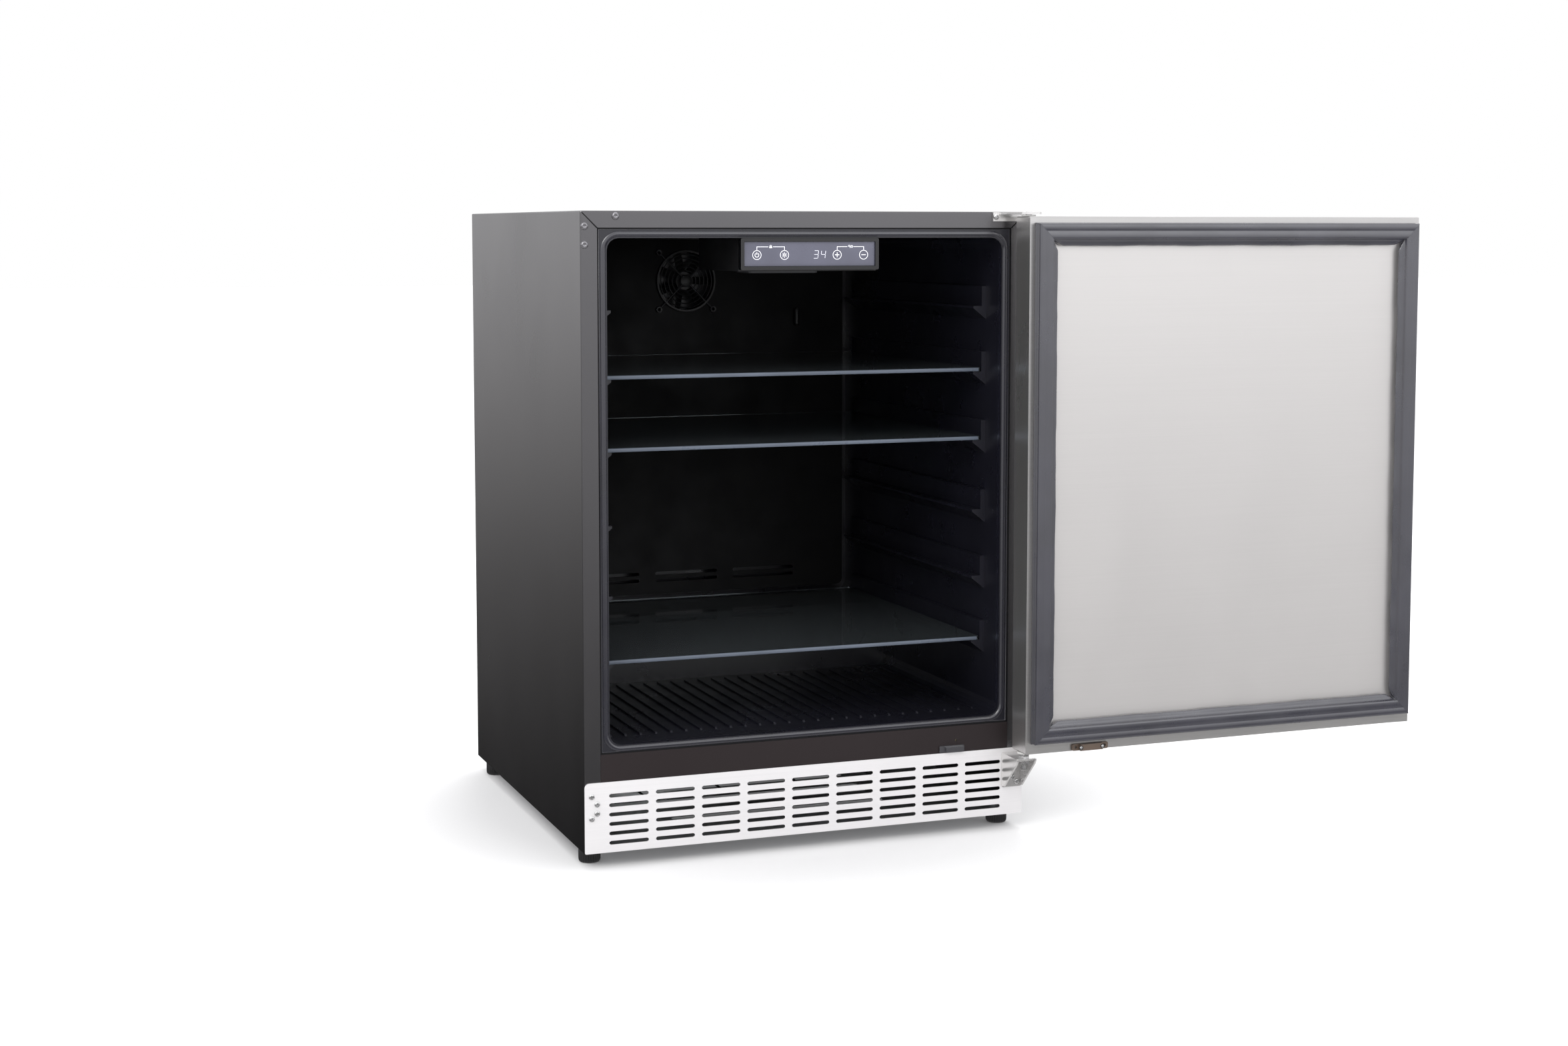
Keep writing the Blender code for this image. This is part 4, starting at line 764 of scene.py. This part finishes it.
def rounded_loop(left, low, right, high, radius, steps):
    """Rectangle with rounded corners, anticlockwise from the lower right corner's start."""
    return (arc(right - radius, low + radius, radius, -90.0, 0.0, steps)
            + arc(right - radius, high - radius, radius, 0.0, 90.0, steps)
            + arc(left + radius, high - radius, radius, 90.0, 180.0, steps)
            + arc(left + radius, low + radius, radius, 180.0, 270.0, steps))


def loop_band(bm, sections, front):
    """Closed band round the opening; section points are (outward, depth) from its edge at the front."""
    rings = []
    for outward, depth in sections:
        loop = rounded_loop(OPEN_SIDE - outward, OPEN_LOW - outward, WIDTH - OPEN_SIDE + outward,
                            OPEN_HIGH + outward, OPEN_CORNER + outward, 10)
        rings.append([bm.verts.new(cabinet(x, front + depth, z)) for x, z in loop])
    for near, far in zip(rings, rings[1:] + rings[:1]):
        for i in range(len(near)):
            j = (i + 1) % len(near)
            bm.faces.new((near[i], near[j], far[j], far[i]))


def make_opening_lip():
    """Rounded lip that carries the liner's walls over into its flange."""
    front = cabinet_box("liner")[0].y
    curve = [(4.2 + 4.2 * math.cos(math.radians(a)), 0.15 - 1.75 * math.sin(math.radians(a)))
             for a in range(0, 100, 10)]
    curve += [(4.2 - 4.4 * math.sin(math.radians(a)), 6.5 - 8.1 * math.cos(math.radians(a)))
              for a in range(9, 91, 9)]
    sections = curve + [(-0.1, 9.0), (0.4, 9.0), (0.8, 3.0), (4.0, 1.0), (8.4, 0.6)]
    bm = bmesh.new()
    loop_band(bm, sections, front)
    piece("liner_opening_lip", bm, LIP_HIGHLIGHT_PLASTIC, "cabinet", 60.0)


def make_flange_channel():
    """Black band painted as the shadow in the gap between the shell's flange and the liner's, and the
    liner flange's rolled edge.
    """
    low = cabinet_box("front_rail")[1].z
    front = cabinet_box("liner")[0].y

    def inset(d):
        left, right = FLANGE_SIDE + d, WIDTH - FLANGE_SIDE - d
        bottom, top = low + d, HEIGHT - FLANGE_TOP - d
        return [(left, bottom), (right, bottom), (right, top), (left, top)]

    bm = bmesh.new()
    # Black band in the gap: painted shadow, not a part of its own
    band_prism(bm, inset(0.0), inset(1.7), -0.25, -0.05, flat_front(front))
    piece("liner_edge_painted_shadow", bm, SHADOW_BLACK, "cabinet")
    rim = bmesh.new()
    tube_along(rim, [cabinet(x, front - 0.1, z) for x, z in inset(2.3)], 0.7 * MM, 8)
    piece("liner_rolled_edge", rim, LIP_HIGHLIGHT_PLASTIC, "cabinet", 60.0)


def make_mitre_painted_shade():
    """Black strip in the slit where the side and top flanges meet: painted shade of the slit."""
    left = [(2.4, HEIGHT - 1.6), (1.7, HEIGHT - 2.4), (20.3, HEIGHT - 21.3), (21.3, HEIGHT - 20.3)]
    right = [(WIDTH - x, z) for x, z in left]
    for side, loop in (("left", left), ("right", right)):
        bm = bmesh.new()
        # Black strip in the slit: painted shade
        outline_prism(bm, loop, 0.0, 0.12, flat_front(-0.02))
        piece(f"flange_mitre_painted_shade_{side}", bm, SHADOW_BLACK, "cabinet")


def make_shelf_edges():
    """Ground and polished front edge of each glass shelf."""
    for level in ("upper", "middle", "lower"):
        low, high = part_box(f"glass_shelf_{level}")
        half = (high.z - low.z) / 2
        inset = 4.0 * MM
        steps = 10
        bm = bmesh.new()
        rings = []
        for x in (low.x + inset, high.x - inset):
            ring = []
            for i in range(steps + 1):
                angle = math.pi * (0.5 + i / steps)
                ring.append(bm.verts.new((x, low.y - 0.1 * MM + 1.2 * MM * math.cos(angle),
                                          low.z + half + half * 0.96 * math.sin(angle))))
            rings.append(ring)
        for i in range(steps):
            bm.faces.new((rings[0][i], rings[0][i + 1], rings[1][i + 1], rings[1][i]))
        bm.faces.new((rings[0][0], rings[1][0], rings[1][-1], rings[0][-1]))
        bm.faces.new(rings[0])
        bm.faces.new(rings[1])
        piece(f"shelf_{level}_front_edge", bm, GROUND_GLASS, f"shelf_{level}", 50.0)


def make_fan_guard():
    """Finger guard: concentric wires on four arms that run to the corner lugs."""
    low, high = cabinet_box("evaporator_fan_guard")
    x = (low.x + high.x) / 2
    z = (low.z + high.z) / 2
    front = low.y
    depth = high.y - low.y
    bm = bmesh.new()
    for radius in GUARD_WIRES:
        path = [cabinet(x + a, front + depth * 0.45, z + b) for a, b in arc(0, 0, radius, 0, 352.5, 47)]
        tube_along(bm, path, 0.95 * MM, 8)
    ring_of(bm, ((42.0, 0.3), (42.3, 0.0), (44.6, 0.0), (45.0, 0.4), (45.0, depth), (42.0, depth)), 64,
            facing_front(x, front, z))
    turned(bm, ((0.0, 0.0), (7.2, 0.0), (8.8, 0.9), (9.0, 1.8), (9.0, depth), (0.0, depth)), 40,
           facing_front(x, front, z))
    for angle in (45.0, 135.0, 225.0, 315.0):
        c, s = math.cos(math.radians(angle)), math.sin(math.radians(angle))
        arm = [cabinet(x + c * r, front + depth * 0.5, z + s * r) for r in (7.0, 25.0, 43.0, 56.0)]
        tube_along(bm, arm, 1.5 * MM, 10, closed=False)
        ring_of(bm, ((2.0, 0.2), (2.3, 0.0), (4.2, 0.0), (4.6, 0.4), (4.6, depth), (2.0, depth)), 24,
                facing_front(x + c * GUARD_LUG_REACH, front, z + s * GUARD_LUG_REACH))
    guard = piece("evaporator_fan_grille", bm, MATERIALS["black_plastic"], "cabinet", 40.0)
    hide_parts("evaporator_fan_guard")


def make_rear_cover_screws():
    """Hexagon-washer screws round the service cover at the back."""
    low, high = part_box("rear_cover")
    y = high.y
    places = [(low.x + (high.x - low.x) * share, low.z + (high.z - low.z) * rise)
              for share in (0.02, 0.34, 0.66, 0.98) for rise in (0.05, 0.95)]
    for i, (x, z) in enumerate(places, 1):
        def place(a, b, depth, x=x, z=z):
            return Vector((x + a * MM, y + depth * MM, z + b * MM))

        bm = bmesh.new()
        turned(bm, ((0.0, 0.05), (5.0, 0.05), (5.2, 0.5), (4.6, 1.0), (0.0, 1.0)), 28, place)
        turned(bm, ((0.0, 1.0), (3.4, 1.0), (3.4, 3.3), (3.0, 3.7), (2.0, 3.8), (0.0, 3.4)), 6, place)
        piece(f"rear_cover_screw_{i}", bm, MATERIALS["zinc"], "cabinet", 30.0)


# ---------------------------------------------------------------- display markings

def bar(bm, a, b, width, place):
    """Thin flat bar from a to b in the display's plane."""
    start, end = Vector(a), Vector(b)
    along = (end - start).normalized()
    side = Vector((-along.y, along.x)) * (width / 2)
    loop = [start - side, end - side, end + side, start + side]
    outline_prism(bm, [(p.x, p.y) for p in loop], 0.0, MARK_DEPTH, place)


def ring_mark(bm, x, z, radius, width, place):
    """Thin flat ring in the display's plane."""
    outer = arc(x, z, radius + width / 2, 0.0, 352.5, 47)
    inner = arc(x, z, radius - width / 2, 0.0, 352.5, 47)
    band_prism(bm, outer, inner, 0.0, MARK_DEPTH, place)


def arc_mark(bm, x, z, radius, start, end, width, place):
    """Part of such a ring, its ends given in degrees."""
    outer = arc(x, z, radius + width / 2, start, end, 24)
    inner = arc(x, z, radius - width / 2, start, end, 24)
    band_prism(bm, outer, inner, 0.0, MARK_DEPTH, place, closed=False)


def digit(bm, character, x, z, place):
    """Seven-segment figure whose lower left corner is at x, z."""
    w, h = DIGIT_WIDTH, DIGIT_HEIGHT
    gap = DIGIT_STROKE * 0.55
    lines = {
        "a": ((gap, h), (w - gap, h)), "b": ((w, h - gap), (w, h / 2 + gap)),
        "c": ((w, h / 2 - gap), (w, gap)), "d": ((gap, 0.0), (w - gap, 0.0)),
        "e": ((0.0, h / 2 - gap), (0.0, gap)), "f": ((0.0, h - gap), (0.0, h / 2 + gap)),
        "g": ((gap, h / 2), (w - gap, h / 2)),
    }
    for key in SEGMENTS[character]:
        (x0, z0), (x1, z1) = lines[key]
        bar(bm, (x + x0 + z0 * DIGIT_SLANT, z + z0), (x + x1 + z1 * DIGIT_SLANT, z + z1),
            DIGIT_STROKE, place)


def bracket_mark(bm, left, right, key_z, line_z, gap_middle, gap_half, place):
    """Line that links two keys, with short drops at its ends and a gap for a symbol."""
    drop = key_z + RING_RADIUS + 0.6
    bar(bm, (left, drop), (left, line_z + STROKE / 2), STROKE, place)
    bar(bm, (right, drop), (right, line_z + STROKE / 2), STROKE, place)
    bar(bm, (left, line_z), (gap_middle - gap_half, line_z), STROKE, place)
    bar(bm, (gap_middle + gap_half, line_z), (right, line_z), STROKE, place)


def make_markings():
    """Four touch keys, their links and the temperature readout."""
    low, high = cabinet_box("display_panel")
    left = low.x
    width = high.x - low.x
    key_z = low.z + (high.z - low.z) * 0.46
    line_z = key_z + 10.2
    place = flat_front(low.y - MARK_DEPTH - 0.03)
    power, light, plus, minus = (left + width * share for share in (0.097, 0.306, 0.709, 0.914))

    keys = bmesh.new()
    for x in (power, light, plus, minus):
        ring_mark(keys, x, key_z, RING_RADIUS, STROKE, place)
    arc_mark(keys, power, key_z, 2.6, 125.0, 415.0, 0.7, place)
    bar(keys, (power, key_z + 0.4), (power, key_z + 3.4), 0.7, place)
    ring_mark(keys, light, key_z, 1.3, 0.7, place)
    for i in range(8):
        c, s = math.cos(math.tau * i / 8), math.sin(math.tau * i / 8)
        bar(keys, (light + 2.2 * c, key_z + 2.2 * s), (light + 3.5 * c, key_z + 3.5 * s), 0.55, place)
    bar(keys, (plus - 3.0, key_z), (plus + 3.0, key_z), 0.8, place)
    bar(keys, (plus, key_z - 3.0), (plus, key_z - 0.4), 0.8, place)
    bar(keys, (plus, key_z + 0.4), (plus, key_z + 3.0), 0.8, place)
    bar(keys, (minus - 3.0, key_z), (minus + 3.0, key_z), 0.8, place)
    piece("key_markings", keys, MARKING, "cabinet")

    links = bmesh.new()
    lock = (power + light) / 2
    bracket_mark(links, power, light, key_z, line_z, lock, 3.2, place)
    lock_body = [(lock - 1.7, line_z - 1.6), (lock + 1.7, line_z - 1.6),
                 (lock + 1.7, line_z + 0.5), (lock - 1.7, line_z + 0.5)]
    outline_prism(links, lock_body, 0.0, MARK_DEPTH, place)
    arc_mark(links, lock, line_z + 0.7, 1.2, 0.0, 180.0, 0.5, place)
    unit = (plus + minus) / 2
    bracket_mark(links, plus, minus, key_z, line_z, unit, 4.2, place)
    ring_mark(links, unit - 1.8, line_z + 0.9, 0.9, 0.5, place)
    bar(links, (unit - 0.6, line_z - 1.7), (unit + 0.9, line_z + 1.7), 0.5, place)
    ring_mark(links, unit + 2.0, line_z + 0.2, 1.2, 0.5, place)
    piece("link_markings", links, MARKING, "cabinet")

    readout = bmesh.new()
    for i, character in enumerate("34"):
        digit(readout, character, left + width * 0.528 + DIGIT_PITCH * i, key_z - 4.3, place)
    piece("readout_figures", readout, DIM_MARKING, "cabinet")


# ---------------------------------------------------------------- CAD nodes' finish

def finish_nodes():
    """Slot materials and softened edges for the CAD nodes that stay visible."""
    for part in frame["record"]["subparts"]:
        node = NODES[part["node"]]
        node.data.materials.clear()
        node.data.materials.append(MATERIALS[part["material_slot"]])
    for name, material in OWN_FINISH.items():
        NODES[name].data.materials[0] = material
    for name, width in BEVELS.items():
        modifier = NODES[name].modifiers.new("Soft edges", "BEVEL")
        modifier.width = width * MM
        modifier.segments = 2
        modifier.limit_method = "ANGLE"
        modifier.angle_limit = math.radians(40.0)
        modifier.harden_normals = False


# ---------------------------------------------------------------- stage

def make_floor():
    """Plain pale floor with a faint glow that fades out under the cabinet."""
    bm = bmesh.new()
    half = FLOOR_HALF
    corners = ((-half, -half), (half, -half), (half, half), (-half, half))
    bm.faces.new([bm.verts.new((x, y, 0.0)) for x, y in corners])
    mesh = bpy.data.meshes.new("studio_floor")
    bm.to_mesh(mesh)
    bm.free()
    floor = bpy.data.objects.new("studio_floor", mesh)
    bpy.context.scene.collection.objects.link(floor)
    paint = Paint("floor_white", (0.9, 0.9, 0.9), 0.9, 0.0, Emission_Strength=FLOOR_GLOW)
    reach = paint.tree.nodes.new("ShaderNodeVectorMath")
    reach.operation = "DISTANCE"
    paint.link(paint.where, reach.inputs[0])
    reach.inputs[1].default_value = cabinet(WIDTH / 2, 290.0, -20.0)
    glow = paint.tree.nodes.new("ShaderNodeValToRGB")
    glow.color_ramp.elements[0].color = (0.0, 0.0, 0.0, 1.0)
    glow.color_ramp.elements[1].color = (1.0, 1.0, 1.0, 1.0)
    paint.link(paint.spread(reach.outputs["Value"], 0.0, 1.0, GLOW_FROM, GLOW_TO), glow.inputs["Fac"])
    paint.link(glow.outputs["Color"], paint.shader.inputs["Emission Color"])
    paint.vary_colour(paint.noise((0.7, 0.7, 0.7), 2.0), 0.99, 1.01)
    mesh.materials.append(paint.material)
    floor.visible_glossy = False


def area_light(name, place, target, size, power, colour):
    """Softbox that faces its target and isn't seen by the camera."""
    lamp = bpy.data.lights.new(name, "AREA")
    lamp.shape = "RECTANGLE"
    lamp.size, lamp.size_y = size
    lamp.energy = power
    lamp.color = colour
    thing = bpy.data.objects.new(name, lamp)
    thing.location = place
    thing.rotation_euler = (Vector(target) - Vector(place)).to_track_quat("-Z", "Y").to_euler()
    bpy.context.scene.collection.objects.link(thing)
    thing.visible_camera = False


def fall_off(tree, height, stops):
    """Sky brightness by the height of the direction's tip, from a list of (height, brightness)."""
    low, high = stops[0][0], stops[-1][0]
    level = tree.nodes.new("ShaderNodeMapRange")
    level.inputs["From Min"].default_value = low
    level.inputs["From Max"].default_value = high
    tree.links.new(height, level.inputs["Value"])
    ramp = tree.nodes.new("ShaderNodeValToRGB")
    while len(ramp.color_ramp.elements) < len(stops):
        ramp.color_ramp.elements.new(0.5)
    for element, (place, value) in zip(ramp.color_ramp.elements, stops):
        element.position = (place - low) / (high - low)
        warm = 0.06 * max(0.0, 1.0 - value)
        element.color = (value, value * (1.0 - 0.5 * warm), value * (1.0 - warm) + 0.02 * value, 1.0)
    tree.links.new(level.outputs["Result"], ramp.inputs["Fac"])
    return ramp.outputs["Color"]


def make_world():
    """Soft studio surround: bright above the horizon, dark just below it, plain white to the camera."""
    world = bpy.data.worlds.new("studio")
    bpy.context.scene.world = world
    world.use_nodes = True
    tree = world.node_tree
    background = tree.nodes["Background"]
    axes = tree.nodes.new("ShaderNodeSeparateXYZ")
    tree.links.new(tree.nodes.new("ShaderNodeTexCoord").outputs["Generated"], axes.inputs["Vector"])
    side = tree.nodes.new("ShaderNodeMapRange")
    side.inputs["From Min"].default_value = -SKY_BLEND
    side.inputs["From Max"].default_value = SKY_BLEND
    tree.links.new(axes.outputs["Y"], side.inputs["Value"])
    surround = tree.nodes.new("ShaderNodeMix")
    surround.data_type = "RGBA"
    tree.links.new(side.outputs["Result"], surround.inputs["Factor"])
    tree.links.new(fall_off(tree, axes.outputs["Z"], SKY_FRONT), surround.inputs["A"])
    tree.links.new(fall_off(tree, axes.outputs["Z"], SKY_REAR), surround.inputs["B"])
    seen = tree.nodes.new("ShaderNodeMix")
    seen.data_type = "RGBA"
    rays = tree.nodes.new("ShaderNodeLightPath")
    tree.links.new(rays.outputs["Is Camera Ray"], seen.inputs["Factor"])
    tree.links.new(surround.outputs["Result"], seen.inputs["A"])
    seen.inputs["B"].default_value = (1.0, 1.0, 1.0, 1.0)
    tree.links.new(seen.outputs["Result"], background.inputs["Color"])
    background.inputs["Strength"].default_value = 1.0


def make_camera():
    """Camera at the studio view's height and angle."""
    lens = bpy.data.cameras.new("studio_camera")
    lens.lens = CAMERA_LENS
    lens.shift_y = CAMERA_RISE
    camera = bpy.data.objects.new("studio_camera", lens)
    camera.location = CAMERA_PLACE
    camera.rotation_euler = (math.radians(90.0 - CAMERA_PITCH), 0.0, math.radians(CAMERA_HEADING))
    bpy.context.scene.collection.objects.link(camera)
    bpy.context.scene.camera = camera


def build():
    """The whole scene, and a plain view transform for it."""
    finish_nodes()
    make_seal()
    make_hinge_screws()
    make_grille_screws()
    make_hole_plugs()
    make_magnet_screws()
    make_grommets()
    for corner in ("front_left", "front_right", "rear_left", "rear_right"):
        make_foot(f"foot_{corner}")
    make_fan_guard()
    make_opening_lip()
    make_flange_channel()
    make_mitre_painted_shade()
    make_shelf_edges()
    make_rear_cover_screws()
    make_markings()
    make_floor()
    make_world()
    for name, settings in LIGHTS.items():
        area_light(name, *settings)
    make_camera()
    bpy.context.scene.view_settings.view_transform = "Standard"


build()
